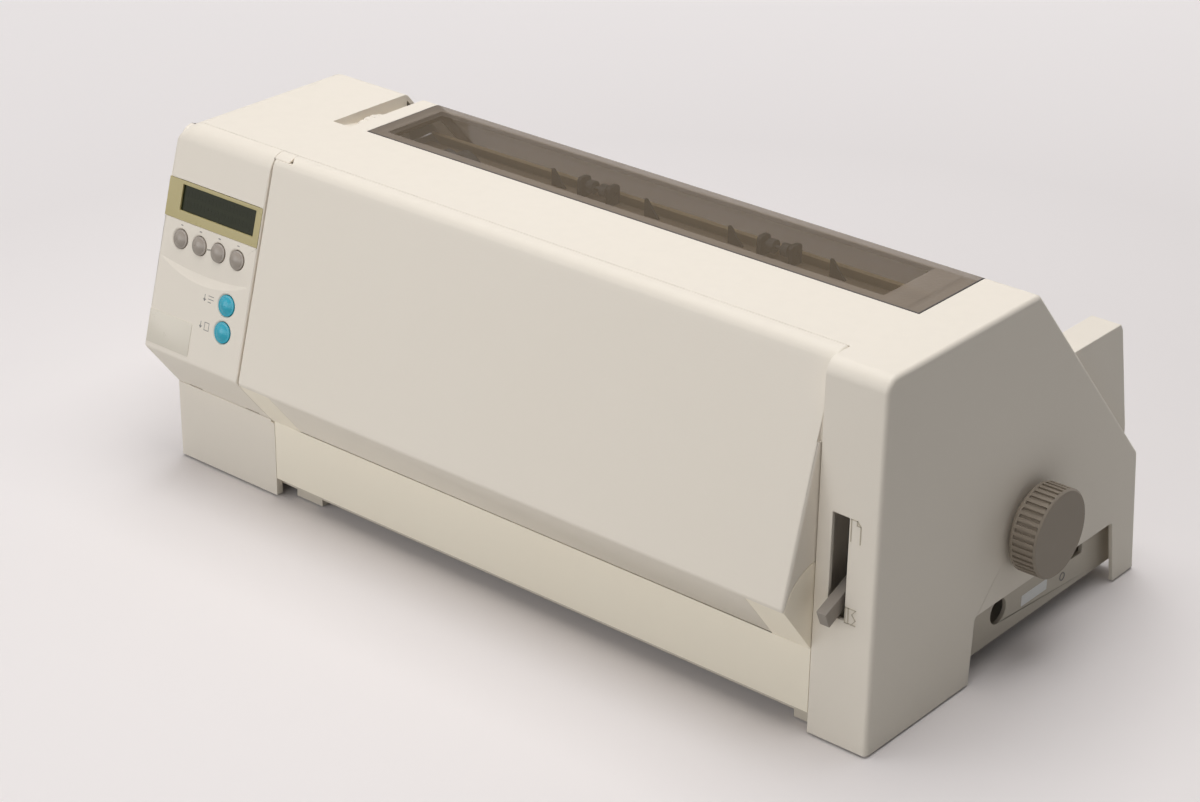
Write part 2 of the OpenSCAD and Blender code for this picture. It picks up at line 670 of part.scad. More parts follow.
// Shallow scoop above the smile-shaped ledge: a wide tilted cylinder bounded by a cone
smile_r = 96;
scoop_r = 500;
scoop_tilt = 4;
scoop_y = -64;
module smile_scoop() on_face((panel_x[0] + panel_x[1]) / 2, 0) intersection() {
    translate([0, smile_r - 103, -10]) cylinder(r1 = smile_r - 28, r2 = smile_r + 2, h = 10.7,
        $fn = 180);
    translate([0, scoop_y, scoop_r / cos(scoop_tilt)]) rotate([90 + scoop_tilt, 0, 0])
        translate([0, 0, -5]) cylinder(r = scoop_r, h = 80, $fn = 360);
}

module control_panel() color("linen") in_case() difference() {
    union() {
        panel_shell();
        for (x = [panel_x[0] + 9, panel_x[1] - 8], s = [88, 141])
            on_face(x, s) translate([0, 0, -board_depth + 0.2])
                cylinder(r = 3, h = board_depth - 1);
    }
    // Pocket for the bezel and the display window behind it
    on_face(0, bezel_s[1]) block([bezel_x[0], 0, -bezel_t], [bezel_x[1], bezel_s[1] - bezel_s[0], 5]);
    on_face(display_x, display_s) block([-display_size[0] / 2 - 3, -display_size[1] / 2 - 3, -9],
        [display_size[0] / 2 + 3, display_size[1] / 2 + 3, 2]);
    for (x = menu_x) on_face(x, menu_s) button_hole(menu_r);
    for (s = feed_s) on_face(feed_x, s) button_hole(feed_r);
    smile_scoop();
    // Hook slots along the bottom edge
    for (x = hook_x) block([x, -3, under_z - 1], [x + hook_w, panel_t + 1, under_z + 1.4]);
}

// Hole of a button, with a shallow flared ring round it
module button_hole(r) {
    translate([0, 0, -9]) cylinder(r = r + button_clear, h = 14);
    translate([0, 0, -1]) cylinder(r1 = r + button_clear, r2 = r + button_clear + 1.6, h = 1.6);
}

module display_bezel() color("palegoldenrod") in_case() difference() {
    on_face(0, bezel_s[1]) block([bezel_x[0] + 0.1, 0.1, -bezel_t],
        [bezel_x[1] - 0.1, bezel_s[1] - bezel_s[0] - 0.1, 0]);
    on_face(display_x, display_s) block([-display_size[0] / 2, -display_size[1] / 2, -9],
        [display_size[0] / 2, display_size[1] / 2, 2]);
}

module display_module() color("darkolivegreen") in_case() on_face(display_x, display_s) {
    block([-display_size[0] / 2 - 2.7, -display_size[1] / 2 - 2.7, -5.5],
        [display_size[0] / 2 + 2.7, display_size[1] / 2 + 2.7, -bezel_t - 0.1]);
    block([-display_size[0] / 2 - 2.7, -14.5, -board_depth], [display_size[0] / 2 + 2.7, 14.5, -5.4]);
}

// Button cap: a domed head in the panel, a flange behind it that keeps it in
module button(r) {
    flange = panel_t + 0.3;
    rotate_extrude() difference() {
        union() {
            translate([0, -mat_depth + 0.1]) square([r, mat_depth + 1.9]);
            translate([0, -flange - 1.5]) square([r + 1.2, 1.5]);
        }
        difference() {
            translate([0, 0.1]) square([r + 1, 3]);
            translate([0, 2 - r * 1.4]) circle(r * 1.4, $fn = round_fn);
        }
    }
}
module menu_button(i) color("darkgray") in_case() on_face(menu_x[i], menu_s) button(menu_r);
module feed_button(i) color("steelblue") in_case() on_face(feed_x, feed_s[i]) button(feed_r);

// Rubber dome mat between the buttons and the board
module key_mat() color("gainsboro") in_case() {
    for (x = menu_x) on_face(x, menu_s) translate([0, 0, -board_depth]) dome(menu_r);
    for (s = feed_s) on_face(feed_x, s) translate([0, 0, -board_depth]) dome(feed_r);
    on_face(0, 137) block([panel_x[0] + 14, 0, -board_depth], [panel_x[1] - 12, 68, -board_depth + 1]);
}
module dome(r) cylinder(r = r * 0.7, h = board_depth - mat_depth - 2);

module panel_board() color("seagreen") in_case() on_face(0, 146)
    block([panel_x[0] + 4, 0, -board_depth - 1.6], [panel_x[1] - 4, 116, -board_depth]);

// --- Frames, platen and gears ------------------------------------------------------------------
frame_outline = [[37, pan_floor[1]], [37, 112], [88, 226], [160, 228], [248, 136], [288, 100],
    [288, 58], [280, 50], [280, pan_floor[1]]];
function outside(i) = i == 0 ? [frame_x[0] - frame_t, frame_x[0]] : [frame_x[1], frame_x[1] + frame_t];
bush_r = platen_shaft_r + 3;
bush_flange = 1.5;

module side_frames() color("silver") in_case() for (i = [0, 1]) {
    x = outside(i);
    difference() {
        across(x) rounded_polygon(frame_outline, [0, 6, 6, 8, 4, 4, 3, 0, 0]);
        cut = [x[0] - 1, x[1] + 1];
        bar(platen_axis, bush_r, cut);
        bar(main_rod, main_rod_r, cut);
        bar(support_rod, support_rod_r, cut);
        bar(tractor_axis, tractor_shaft_r + run_fit, cut);
        bar(tractor_rod, tractor_shaft_r, cut);
        across(cut) polygon([[52, 20], [52, 52], [100, 52], [100, 20]]);
        across(cut) polygon([[190, 140], [205, 150], [232, 122], [222, 108]]);
        if (i == 0) {
            bar(idler_axis, 4, cut);
            bar(pinion_axis, 9, cut);
            bar([dial[0], dial[1]], dial_shaft_r + run_fit, cut);
        }
    }
    // Pivot stud of the paper lever on the right frame
    if (i == 1) bar(lever_axis, 4, [x[1] - eps, lever_x[1] + 1.5]);
}
dial_shaft_r = 3;
lever_x = [(slot_x[0] + slot_x[1]) / 2 - 3.5, (slot_x[0] + slot_x[1]) / 2 + 3.5];

module platen_bushes() color("ivory") in_case() for (i = [0, 1]) {
    x = outside(i);
    inner = i == 0 ? [x[1], x[1] + bush_flange] : [x[0] - bush_flange, x[0]];
    difference() {
        union() {
            bar(platen_axis, bush_r, [min(x[0], inner[0]), max(x[1], inner[1])]);
            bar(platen_axis, bush_r + 2, inner);
        }
        bar(platen_axis, platen_shaft_r + run_fit, [x[0] - 3, x[1] + 3]);
    }
}

roller_x = [frame_x[0] + 6, frame_x[1] - 6];
module platen_shaft() color("silver") in_case()
    bar(platen_axis, platen_shaft_r, [gear_x - 3, half_w + knob_proud - 4]);
module platen_roller() color("dimgray") in_case() difference() {
    bar(platen_axis, platen_r, roller_x);
    bar(platen_axis, platen_shaft_r, [roller_x[0] - 1, roller_x[1] + 1]);
}

// Knob: plain collar and grooved rim. A groove is given by its width, its depth and the length
// of the plain band before it.
flute = [2.2, 1.4, 6];
knob_chamfer = 1.2;
knob_band = 0.4;
module platen_knob() color("dimgray") in_case()
    translate([half_w + 0.8, platen_axis[0], platen_axis[1]]) rotate([0, 90, 0]) difference() {
        rotate_extrude($fn = round_fn) difference() {
            polygon([[0, 0], [knob_r - 6, 0], [knob_r - 6, 3], [knob_r - 1, 3.4], [knob_r, 4.4],
                [knob_r, knob_proud - 0.8 - knob_chamfer],
                [knob_r - knob_chamfer, knob_proud - 0.8],
                [0, knob_proud - 0.8]]);
            translate([0, -1]) square([platen_shaft_r, knob_proud - 3.8]);
        }
        for (i = [0 : knob_flutes - 1]) rotate(i * 360 / knob_flutes)
            translate([knob_r - flute[1], -flute[0] / 2, flute[2]])
                cube([flute[1] + 1, flute[0],
                    knob_proud - flute[2] - 0.8 - knob_chamfer - knob_band]);
    }

module platen_gear() color("ivory") in_case()
    shaft_gear(platen_axis, platen_teeth, platen_shaft_r,
        meshed(idler_turn, heading(idler_axis, platen_axis), idler_teeth, platen_teeth));
idler_turn = heading(idler_axis, platen_axis);
module idler_gear() color("ivory") in_case()
    shaft_gear(idler_axis, idler_teeth, 4 + run_fit, idler_turn);
module idler_stud() color("silver") in_case() {
    bar(idler_axis, 4, [gear_x - 1.5, frame_x[0]]);
    bar(idler_axis, 6, [gear_x - 2.5, gear_x - 0.4]);
    bar(idler_axis, 6, [gear_x + gear_w + 0.4, frame_x[0] - frame_t]);
}
module tractor_gear() color("ivory") in_case()
    shaft_gear(tractor_axis, tractor_teeth, tractor_shaft_r,
        meshed(near_tooth(idler_turn, heading(idler_axis, tractor_axis), idler_teeth),
            heading(idler_axis, tractor_axis), idler_teeth, tractor_teeth));
// Angle of the gear tooth that lies nearest to the lead direction
function near_tooth(turn, lead, teeth) =
    turn + round((lead - turn) * teeth / 360) * 360 / teeth;
module feed_pinion() color("silver") in_case() {
    lead = heading(idler_axis, pinion_axis);
    shaft_gear(pinion_axis, pinion_teeth, 2,
        meshed(near_tooth(idler_turn, lead, idler_teeth), lead, idler_teeth, pinion_teeth));
    bar(pinion_axis, 2.5, [gear_x, frame_x[0] + 8]);
}
motor_r = 18;
module feed_motor() color("gray") in_case() difference() {
    union() {
        bar(pinion_axis, motor_r, [frame_x[0], frame_x[0] + 28]);
        bar(pinion_axis, 9, [frame_x[0] - frame_t, frame_x[0] + 1]);
    }
    bar(pinion_axis, 2.5 + run_fit, [frame_x[0] - 4, frame_x[0] + 8.2]);
}

// --- Tractors ----------------------------------------------------------------------------------
module tractor_shaft() color("silver") in_case()
    bar(tractor_axis, tractor_shaft_r, [gear_x - 3, frame_x[1] + frame_t + 4]);
module tractor_rod_bar() color("silver") in_case()
    bar(tractor_rod, tractor_shaft_r, [frame_x[0] - frame_t - 3, frame_x[1] + frame_t + 3]);

tractor_r = 14;
pin_pitch = 12.7;
door_t = 2.4;
door_y = [tractor_rod[0] + 2, tractor_axis[0] - 2];
// First pin, and the slot in the door that the pins run in
pin_y = door_y[0] + 4.4;
pin_slot_y = pin_y - 2;
door_gap = 2;
pin_h = 2.2;
tractor_top = tractor_axis[1] + tractor_r;
module tractor(i) color("darkslategray") in_case() translate([tractor_x[i], 0, 0]) {
    side = i == 0 ? -1 : 1;
    x = [-tractor_w / 2, tractor_w / 2];
    difference() {
        across(x) union() {
            translate(tractor_axis) circle(tractor_r - 1, $fn = round_fn);
            translate(tractor_rod) circle(tractor_r - 1, $fn = round_fn);
            translate([tractor_rod[0], tractor_rod[1] - tractor_r + 1])
                square([tractor_axis[0] - tractor_rod[0], 2 * tractor_r - 2]);
        }
        bar(tractor_axis, tractor_shaft_r + run_fit, [x[0] - 1, x[1] + 1]);
        bar(tractor_rod, tractor_shaft_r + run_fit, [x[0] - 1, x[1] + 1]);
        block([min(side * 8.9, side * 12), door_y[0] - 0.5, tractor_top - 2.6],
            [max(side * 8.9, side * 12), door_y[1] + 0.5, tractor_top + 1]);
        // Relief between the two wheels
        block([x[0] - 1, tractor_rod[0] + 9, tractor_rod[1] - 5],
            [x[1] + 1, tractor_axis[0] - 9, tractor_rod[1] + 5]);
        translate([side * door_pin_x, door_y[0] - 6, tractor_top]) rotate([-90, 0, 0])
            cylinder(r = door_pin_r + run_fit, h = door_y[1] - door_y[0] + 12);
    }
    // Pin belt round the wheels
    band = [side * 4 - 3, side * 4 + 3];
    across(band) difference() {
        union() {
            translate(tractor_axis) circle(tractor_r, $fn = round_fn);
            translate(tractor_rod) circle(tractor_r, $fn = round_fn);
            translate([tractor_rod[0], tractor_rod[1] - tractor_r])
                square([tractor_axis[0] - tractor_rod[0], 2 * tractor_r]);
        }
        translate([tractor_rod[0], tractor_rod[1] - tractor_r + 2])
            square([tractor_axis[0] - tractor_rod[0], 2 * tractor_r - 4]);
        translate(tractor_axis) circle(tractor_r - 2, $fn = round_fn);
        translate(tractor_rod) circle(tractor_r - 2, $fn = round_fn);
    }
    for (y = [pin_y : pin_pitch : tractor_axis[0]])
        translate([side * 4, y, tractor_top - 1]) cylinder(r1 = 2, r2 = 1.2, h = 1 + pin_h);
    // Lugs of the door's hinge on the outer side
    for (y = [[door_y[0] - 5, door_y[0] - 1], [door_y[1] + 1, door_y[1] + 5]]) difference() {
        block([min(side * 8, side * 14), y[0], tractor_top - 8],
            [max(side * 8, side * 14), y[1], tractor_top + 2.5]);
        translate([side * door_pin_x, y[0] - 1, tractor_top]) rotate([-90, 0, 0])
            cylinder(r = door_pin_r + run_fit, h = 6);
    }
}
door_pin_x = 11.5;
door_pin_r = 1.5;
module tractor_door(i) color("slategray") in_case() translate([tractor_x[i], 0, 0])
    mirror([i == 0 ? 1 : 0, 0, 0]) {
        difference() {
            block([-11, door_y[0], tractor_top + door_gap],
                [13, door_y[1], tractor_top + door_gap + door_t]);
            // Slot that the pins run in
            block([1, pin_slot_y, tractor_top], [7, door_y[1] + 1, tractor_top + 9]);
        }
        block([9.9, door_y[0], tractor_top], [13, door_y[1], tractor_top + door_gap + 1]);
        translate([door_pin_x, door_y[0], tractor_top]) rotate([-90, 0, 0])
            cylinder(r = 2.2, h = door_y[1] - door_y[0]);
        translate([door_pin_x, door_y[0] - 4.5, tractor_top]) rotate([-90, 0, 0])
            cylinder(r = door_pin_r, h = door_y[1] - door_y[0] + 9);
    }

// --- Carriage ----------------------------------------------------------------------------------
deck_z = 82;
belt_t = 1.2;
belt_w = 6;
module carriage_rods() color("silver") in_case() {
    bar(main_rod, main_rod_r, [frame_x[0] - frame_t - 3, frame_x[1] + frame_t + 3]);
    bar(support_rod, support_rod_r, [frame_x[0] - frame_t - 3, frame_x[1] + frame_t + 3]);
}
module carriage() color("slategray") in_case() translate([park_x, 0, 0]) {
    x = [-carriage_w / 2, carriage_w / 2];
    difference() {
        across(x) rounded_polygon([[62, 58], [62, deck_z], [132, deck_z], [132, 52], [104, 52],
            [98, 58]], [3, 4, 4, 4, 3, 0]);
        bar(main_rod, main_rod_r + run_fit, [x[0] - 1, x[1] + 1]);
        bar(support_rod, support_rod_r + run_fit, [x[0] - 1, x[1] + 1]);
        // Middle is open between the two bearing ends of the main rod
        block([-18, 104, 40], [18, 133, deck_z - 5]);
    }
    // Belt clamp
    block([-10, pulley[0] - 5, pulley[1] + pulley[2] + belt_t + 0.2], [10, pulley[0] + 5, 60]);
}
nose_y = platen_axis[0] - platen_r - head_gap;
head_h = 27;
module print_head() color("dimgray") in_case() translate([park_x, 0, 0]) {
    difference() {
        block([-22, 90, deck_z], [22, 128, deck_z + head_h]);
        // Cooling fins
        for (i = [0 : 6]) block([-24, 92 + i * 5, deck_z + 6], [24, 94.6 + i * 5, deck_z + 30]);
    }
    block([-16, 126, deck_z], [16, 132, deck_z + 24]);
    across([-5, 5]) polygon([[131, deck_z + 2], [131, deck_z + 22], [nose_y, platen_axis[1] + 5],
        [nose_y, platen_axis[1] - 5]]);
}
ribbon_t = 0.4;
module ribbon_cartridge() color("darkslategray") in_case() translate([park_x, 0, 0]) {
    w = cartridge_w / 2;
    top = deck_z + 46;
    across([-w, w]) rounded_polygon([[58, deck_z + 29], [58, top], [112, top],
        [112, deck_z + 29]], [2, 5, 8, 2]);
    for (x = [[-w, -w + 7], [w - 7, w]])
        across(x) polygon([[104, deck_z + 30], [104, top - 3], [126, top - 6],
            [nose_y + 0.6, platen_axis[1] + 9], [nose_y + 0.6, platen_axis[1] - 6],
            [nose_y - 5, platen_axis[1] - 6]]);
    // Inked ribbon between the arms, and the knob that winds it
    block([-w + 6, nose_y + 0.35, platen_axis[1] - 6],
        [w - 6, nose_y + 0.35 + ribbon_t, platen_axis[1] + 7]);
    translate([w - 14, 74, top - eps]) cylinder(r = 8, h = 5);
    // Feet on the head
    block([-20, 96, deck_z + head_h], [20, 106, deck_z + 29.5]);
}
module carriage_motor() color("gray") in_case()
    translate([pulley_x[1], pulley[0], pulley[1]]) rotate([-90, 0, 0]) difference() {
        union() {
            translate([0, 0, 6]) cylinder(r = motor_r, h = 32);
            translate([-motor_r, -2, 8])
                cube([2 * motor_r, pulley[1] - pan_floor[1] + 2, 28]);
        }
        translate([0, 0, -1]) cylinder(r = 2.5 + run_fit, h = 16.2);
    }
module pulley_wheel(bore) {
    difference() {
        union() {
            translate([0, 0, -3.2]) cylinder(r = pulley[2], h = 6.4);
            for (z = [-4.4, 3.2]) translate([0, 0, z]) cylinder(r = pulley[2] + 2, h = 1.2);
        }
        if (bore > 0) translate([0, 0, -6]) cylinder(r = bore, h = 12);
    }
}
module drive_pulley() color("silver") in_case()
    translate([pulley_x[1], pulley[0], pulley[1]]) rotate([-90, 0, 0]) {
        pulley_wheel(0);
        cylinder(r = 2.5, h = 15);
    }
module tension_pulley() color("silver") in_case()
    translate([pulley_x[0], pulley[0], pulley[1]]) rotate([-90, 0, 0]) pulley_wheel(2.5 + run_fit);
module belt_tensioner() color("silver") in_case() {
    block([pulley_x[0] - 9, pulley[0] + 6, pan_floor[1]], [pulley_x[0] + 9, pulley[0] + 8, 42]);
    block([pulley_x[0] - 9, pulley[0] + 6, pan_floor[1]],
        [pulley_x[0] + 9, pulley[0] + 22, pan_floor[1] + 2]);
    translate([pulley_x[0], pulley[0] - 6, pulley[1]]) rotate([-90, 0, 0])
        cylinder(r = 2.5, h = 13);
}
module timing_belt() color("black") in_case() translate([0, pulley[0] + 3, pulley[1]])
    rotate([90, 0, 0]) linear_extrude(belt_w) difference() {
        union() {
            for (x = pulley_x) translate([x, 0]) circle(pulley[2] + belt_t, $fn = round_fn);
            translate([pulley_x[0], -pulley[2] - belt_t])
                square([pulley_x[1] - pulley_x[0], 2 * (pulley[2] + belt_t)]);
        }
        for (x = pulley_x) translate([x, 0]) circle(pulley[2] + run_fit, $fn = round_fn);
        translate([pulley_x[0], -pulley[2] - run_fit])
            square([pulley_x[1] - pulley_x[0], 2 * (pulley[2] + run_fit)]);
    }

// --- Paper path ----------------------------------------------------------------------------------
guide_x = [frame_x[0], frame_x[1]];
guide_drop = 14;
exit_axis = [150, 231];
bracket_x = [-38.6, 112];
fin_h = 12;
bar_top = 223;
module rear_paper_guide() color("tan") in_case() across(guide_x) {
    start = [deck_d, body_h] + slope_dir * 16 - slope_out * guide_drop;
    end = [deck_d, body_h] + slope_dir * 140 - slope_out * guide_drop;
    polygon([start, end, end - slope_out * 2, start - slope_out * 2]);
}
module lower_paper_guide() color("silver") in_case() across(guide_x) difference() {
    union() {
        translate(platen_axis) circle(platen_r + 4.5, $fn = round_fn);
        translate([platen_axis[0], platen_axis[1] - platen_r - 4.5]) square([52, 1.8]);
    }
    translate(platen_axis) circle(platen_r + 2.7, $fn = round_fn);
    translate([platen_axis[0] - 60, platen_axis[1] - 10]) square([120, 60]);
    translate([platen_axis[0], platen_axis[1] - platen_r - 2.7]) square([60, 60]);
}
module exit_guide_bar() color("darkslategray") in_case() {
    across(guide_x) polygon([[143, bar_top - 12], [143, bar_top], [156, bar_top],
        [156, bar_top - 3], [147, bar_top - 3], [147, bar_top - 12]]);
    for (b = bracket_x) {
        for (x = [b - 14, b + 11]) difference() {
            across([x, x + 3]) rounded_polygon([[144, bar_top - 1], [144, bar_top + 14],
                [155, bar_top + 14], [155, bar_top - 1]], [0, 3, 3, 0]);
            bar(exit_axis, 1.5 + run_fit, [x - 1, x + 4]);
        }
        for (x = [b - 41, b + 40]) translate([x, 151, bar_top - eps]) rotate([90, 0, 0])
            linear_extrude(2) polygon([[0, 0], [0, fin_h], [1.5, fin_h], [12, 0]]);
    }
}
module exit_rollers() color("gray") in_case() for (b = bracket_x) {
    bar(exit_axis, 1.5, [b - 13, b + 13]);
    for (x = [b - 8, b + 3]) bar(exit_axis, 4.5, [x, x + 5]);
}

// --- Lever, dial and electrics ---------------------------------------------------------------
lever_tip = [-13, 92];
module paper_lever() color("darkgray") in_case() {
    x = lever_x;
    dir = unit(lever_tip - lever_axis);
    side = [-dir[1], dir[0]] * 5;
    difference() {
        union() {
            across(x) union() {
                translate(lever_axis) circle(10);
                polygon([lever_axis + side, lever_tip + side * 1.1, lever_tip - side * 1.1,
                    lever_axis - side]);
            }
            bar(lever_axis, 8, [frame_x[1] + frame_t + 0.2, x[0] + 1]);
        }
        bar(lever_axis, 4 + run_fit, [frame_x[1], x[1] + 1]);
    }
}

module thickness_dial() color("linen") in_case() {
    difference() {
        union() {
            bar([dial[0], dial[1]], dial[2], dial_x);
            bar([dial[0], dial[1]], 8, [dial_x[1] - eps, frame_x[0] - frame_t - 0.3]);
        }
        for (i = [0 : dial_notches - 1]) translate([dial_x[0] - 1, dial[0], dial[1]])
            rotate([90 + i * 360 / dial_notches, 0, 0]) translate([0, dial[2] + 0.5, 0])
                rotate([0, 90, 0]) cylinder(r = 1.2, h = 12, $fn = 16);
        bar([dial[0], dial[1]], 26, [dial_x[0] - 1, dial_x[0] + 2]);
    }
    bar([dial[0], dial[1]], dial_shaft_r, [dial_x[1], frame_x[0] + 3]);
    bar([dial[0], dial[1]], dial_shaft_r + 2, [frame_x[0] + 0.3, frame_x[0] + 3]);
}
dial_notches = 36;

board_z = 18;
module main_board() color("seagreen") in_case() {
    block([-166, 146, board_z], [178, 284, board_z + 1.6]);
    for (c = [[-120, 170, 34, 34, 3], [-60, 190, 48, 20, 3.5], [10, 175, 28, 28, 3],
              [70, 200, 20, 50, 4], [-100, 235, 60, 12, 10], [40, 255, 40, 10, 9]])
        block([c[0], c[1], board_z + 1.6 - eps], [c[0] + c[2], c[1] + c[3], board_z + 1.6 + c[4]]);
}
supply_x = [-half_w + 18, -half_w + 84];
module power_supply() color("silver") in_case() difference() {
    block([supply_x[0], 96, pan_floor[1]], [supply_x[1], 226, 66]);
    for (i = [0 : vent_count - 1]) block([supply_x[0] + 12, 110 + i * vent_pitch, 60],
        [supply_x[1] - 12, 113.5 + i * vent_pitch, 70]);
}
inlet_x = -240;
switch_x = -196;
connector_x = 110;
module power_inlet() color("dimgray") in_case() difference() {
    union() {
        block([inlet_x - 14, pan_rear - 22, 22.2], [inlet_x + 14, pan_rear, 45.8]);
        block([inlet_x - 16, pan_rear, 20], [inlet_x + 16, pan_rear + 2, 48]);
    }
    block([inlet_x - 12, pan_rear - 17, 25], [inlet_x + 12, pan_rear + 3, 43]);
}
module power_switch() color("dimgray") in_case() difference() {
    union() {
        block([switch_x - 10.5, pan_rear - 18, 27.2], [switch_x + 10.5, pan_rear, 40.8]);
        block([switch_x - 12, pan_rear, 25], [switch_x + 12, pan_rear + 1.6, 43]);
    }
    block([switch_x - 9, pan_rear - 12, 29], [switch_x + 9, pan_rear + 3, 39]);
    translate([switch_x, pan_rear - 3, 27]) cylinder(r = 1.5 + run_fit, h = 14);
}
module power_rocker() color("black") in_case() translate([switch_x, pan_rear - 3, 0]) {
    translate([0, 0, 29.3]) linear_extrude(9.4)
        polygon([[-7.6, 3], [0, 1.4], [7.6, 5], [7, -3], [3, -6], [-3, -6], [-7, -3]]);
    translate([0, 0, 27.6]) cylinder(r = 1.5, h = 12.8);
}
module interface_connector() color("gainsboro") in_case() difference() {
    union() {
        block([connector_x - 30, pan_rear - 14, 24.2], [connector_x + 30, pan_rear, 43.8]);
        block([connector_x - 33, pan_rear, 22], [connector_x + 33, pan_rear + 1.5, 46]);
        block([connector_x - 27, pan_rear, 27], [connector_x + 27, pan_rear + 7, 41]);
    }
    difference() {
        block([connector_x - 25.5, pan_rear - 6, 28.5], [connector_x + 25.5, pan_rear + 8, 39.5]);
        block([connector_x - 22, pan_rear - 8, 32.5], [connector_x + 22, pan_rear + 5, 35.5]);
    }
}

base_pan();
rubber_feet();
upper_case();
rear_posts();
front_left_cover();
lower_front_panel();
front_cover();
window_lid();
control_panel();
display_bezel();
display_module();
key_mat();
panel_board();
menu_button(0);  // menu_button_1
menu_button(1);  // menu_button_2
menu_button(2);  // menu_button_3
menu_button(3);  // menu_button_4
feed_button(0);  // line_feed_button
feed_button(1);  // form_feed_button
side_frames();
platen_bushes();
platen_shaft();
platen_roller();
platen_knob();
platen_gear();
idler_gear();
idler_stud();
feed_pinion();
feed_motor();
tractor_shaft();
tractor_gear();
tractor_rod_bar();
tractor(0);  // left_tractor
tractor(1);  // right_tractor
tractor_door(0);  // left_tractor_door
tractor_door(1);  // right_tractor_door
carriage_rods();
carriage();
print_head();
ribbon_cartridge();
carriage_motor();
drive_pulley();
belt_tensioner();
tension_pulley();
timing_belt();
rear_paper_guide();
lower_paper_guide();
exit_guide_bar();
exit_rollers();
paper_lever();
thickness_dial();
main_board();
power_supply();
power_inlet();
power_switch();
power_rocker();
interface_connector();
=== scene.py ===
"""Looks of a wide dot matrix printer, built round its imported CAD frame.

Places are written in the case's own millimetres, as in the part's source: x from the middle of the
case's width, y from the front of the right pillar and growing to the rear, z from the table.
"""
import json
import math

import bmesh
import bpy
from mathutils import Matrix, Vector

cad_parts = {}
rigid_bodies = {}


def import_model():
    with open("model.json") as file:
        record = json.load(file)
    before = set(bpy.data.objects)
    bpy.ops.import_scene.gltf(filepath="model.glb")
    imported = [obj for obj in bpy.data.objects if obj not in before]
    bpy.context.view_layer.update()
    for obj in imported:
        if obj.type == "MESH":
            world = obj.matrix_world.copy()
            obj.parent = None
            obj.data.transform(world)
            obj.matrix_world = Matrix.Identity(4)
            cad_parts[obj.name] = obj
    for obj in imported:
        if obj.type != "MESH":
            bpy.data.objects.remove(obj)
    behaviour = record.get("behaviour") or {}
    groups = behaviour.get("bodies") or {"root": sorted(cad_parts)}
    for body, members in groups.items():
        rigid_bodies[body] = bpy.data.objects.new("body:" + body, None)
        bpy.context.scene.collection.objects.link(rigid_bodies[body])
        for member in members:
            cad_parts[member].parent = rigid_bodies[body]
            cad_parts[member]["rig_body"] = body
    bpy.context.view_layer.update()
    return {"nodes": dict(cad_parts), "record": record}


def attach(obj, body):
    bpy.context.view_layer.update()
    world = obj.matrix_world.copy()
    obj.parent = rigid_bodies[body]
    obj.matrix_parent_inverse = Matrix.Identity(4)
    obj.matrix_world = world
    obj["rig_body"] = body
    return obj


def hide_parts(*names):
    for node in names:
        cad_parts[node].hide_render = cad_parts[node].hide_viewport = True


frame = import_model()

# --- Sizes of the case, in its own millimetres ---
MM = 0.001
CASE_TO_FRAME = Vector((-11.5, -140.6336, 0.0))
HALF_W = 300.0
BODY_H = 251.0
LEAN = math.radians(15.5)
FACE_SETBACK = 12.4
# The window lid: its sides and front edge, its dark rim, a painted shadow of the gap round the
# lid, and the clear area in its middle
LID_X = (-191.7, 260.2)
LID_Y = 87.0
LID_SHADOW_RIM = 0.9
CLEAR_X = (-180.0, 229.5)
CLEAR_Y = (94.8, 148.6)
# A depth that lies behind everything
FAR_BACK = 400.0
# Top of the bar that the exit rollers' brackets stand on
BAR_TOP = 223.0
# The round edge along the front of the deck, the radius it is drawn in to, and how deep behind
# its surface the wall follows; then the same for the rounds along both ends
BROW_R = 14.0
CRISP_BROW_R = 10.0
BROW_DEPTH = 5.5
END_R = 5.0
CRISP_END_R = 3.0
# The left end's round is wider along the top than down the front: its radius there, the height it
# starts from, the radius of the corner inside it, and how near the end that corner lies
SOFT_END_R = 15.0
SOFT_END_FROM = 150.0
SOFT_INNER_R = 10.0
END_WALL = 4.0
# A face that looks along x by less than the first is not part of an end's round; one that looks
# along it by more than the second is the flat end itself
NOT_END = 0.05
FLAT_END = 0.995
ROUND_ENDED = ("upper_case", "control_panel", "front_left_cover")
# Depth of the front edge's centre and lean of the face below it
BROWS = {"upper_case": (BROW_R, 0.0), "front_cover": (23.045, LEAN)}
# Points closer than this are one point; faces that turn by less than this many degrees are one
SAME_POINT = 2e-6
SAME_FACE = 0.5
# Edges that turn by more than this many degrees are eased
EASED_ANGLE = 28.0
# Raised and printed marks reach from below a surface to just above it, so that none floats
RELIEF = (-0.2, 0.4)
PRINT = (-0.2, 0.04)
PAN_SIDE = 289.0


def in_frame(x, y, z):
    """A place in case millimetres, as a point of the shared frame in metres."""
    return (Vector((x, y, z)) + CASE_TO_FRAME) * MM


def on_face(x, s, out=0.0):
    """A place on the leaning front: x across, s down from its top edge, out in front of it."""
    y = FACE_SETBACK - s * math.sin(LEAN) - out * math.cos(LEAN)
    z = BODY_H - s * math.cos(LEAN) + out * math.sin(LEAN)
    return in_frame(x, y, z)


# --- Node helpers ---
# Numbers of a Mix node's two inputs and its output, for colours and for plain values
MIX_COLOUR = (6, 7, 2)
MIX_VALUE = (2, 3, 0)


def add_node(tree, kind, place, **settings):
    """One node of a tree, with its properties and its unlinked inputs set."""
    made = tree.nodes.new(kind)
    made.location = place
    inputs = settings.pop("inputs", {})
    for key, value in settings.items():
        setattr(made, key, value)
    for key, value in inputs.items():
        made.inputs[key].default_value = value
    return made


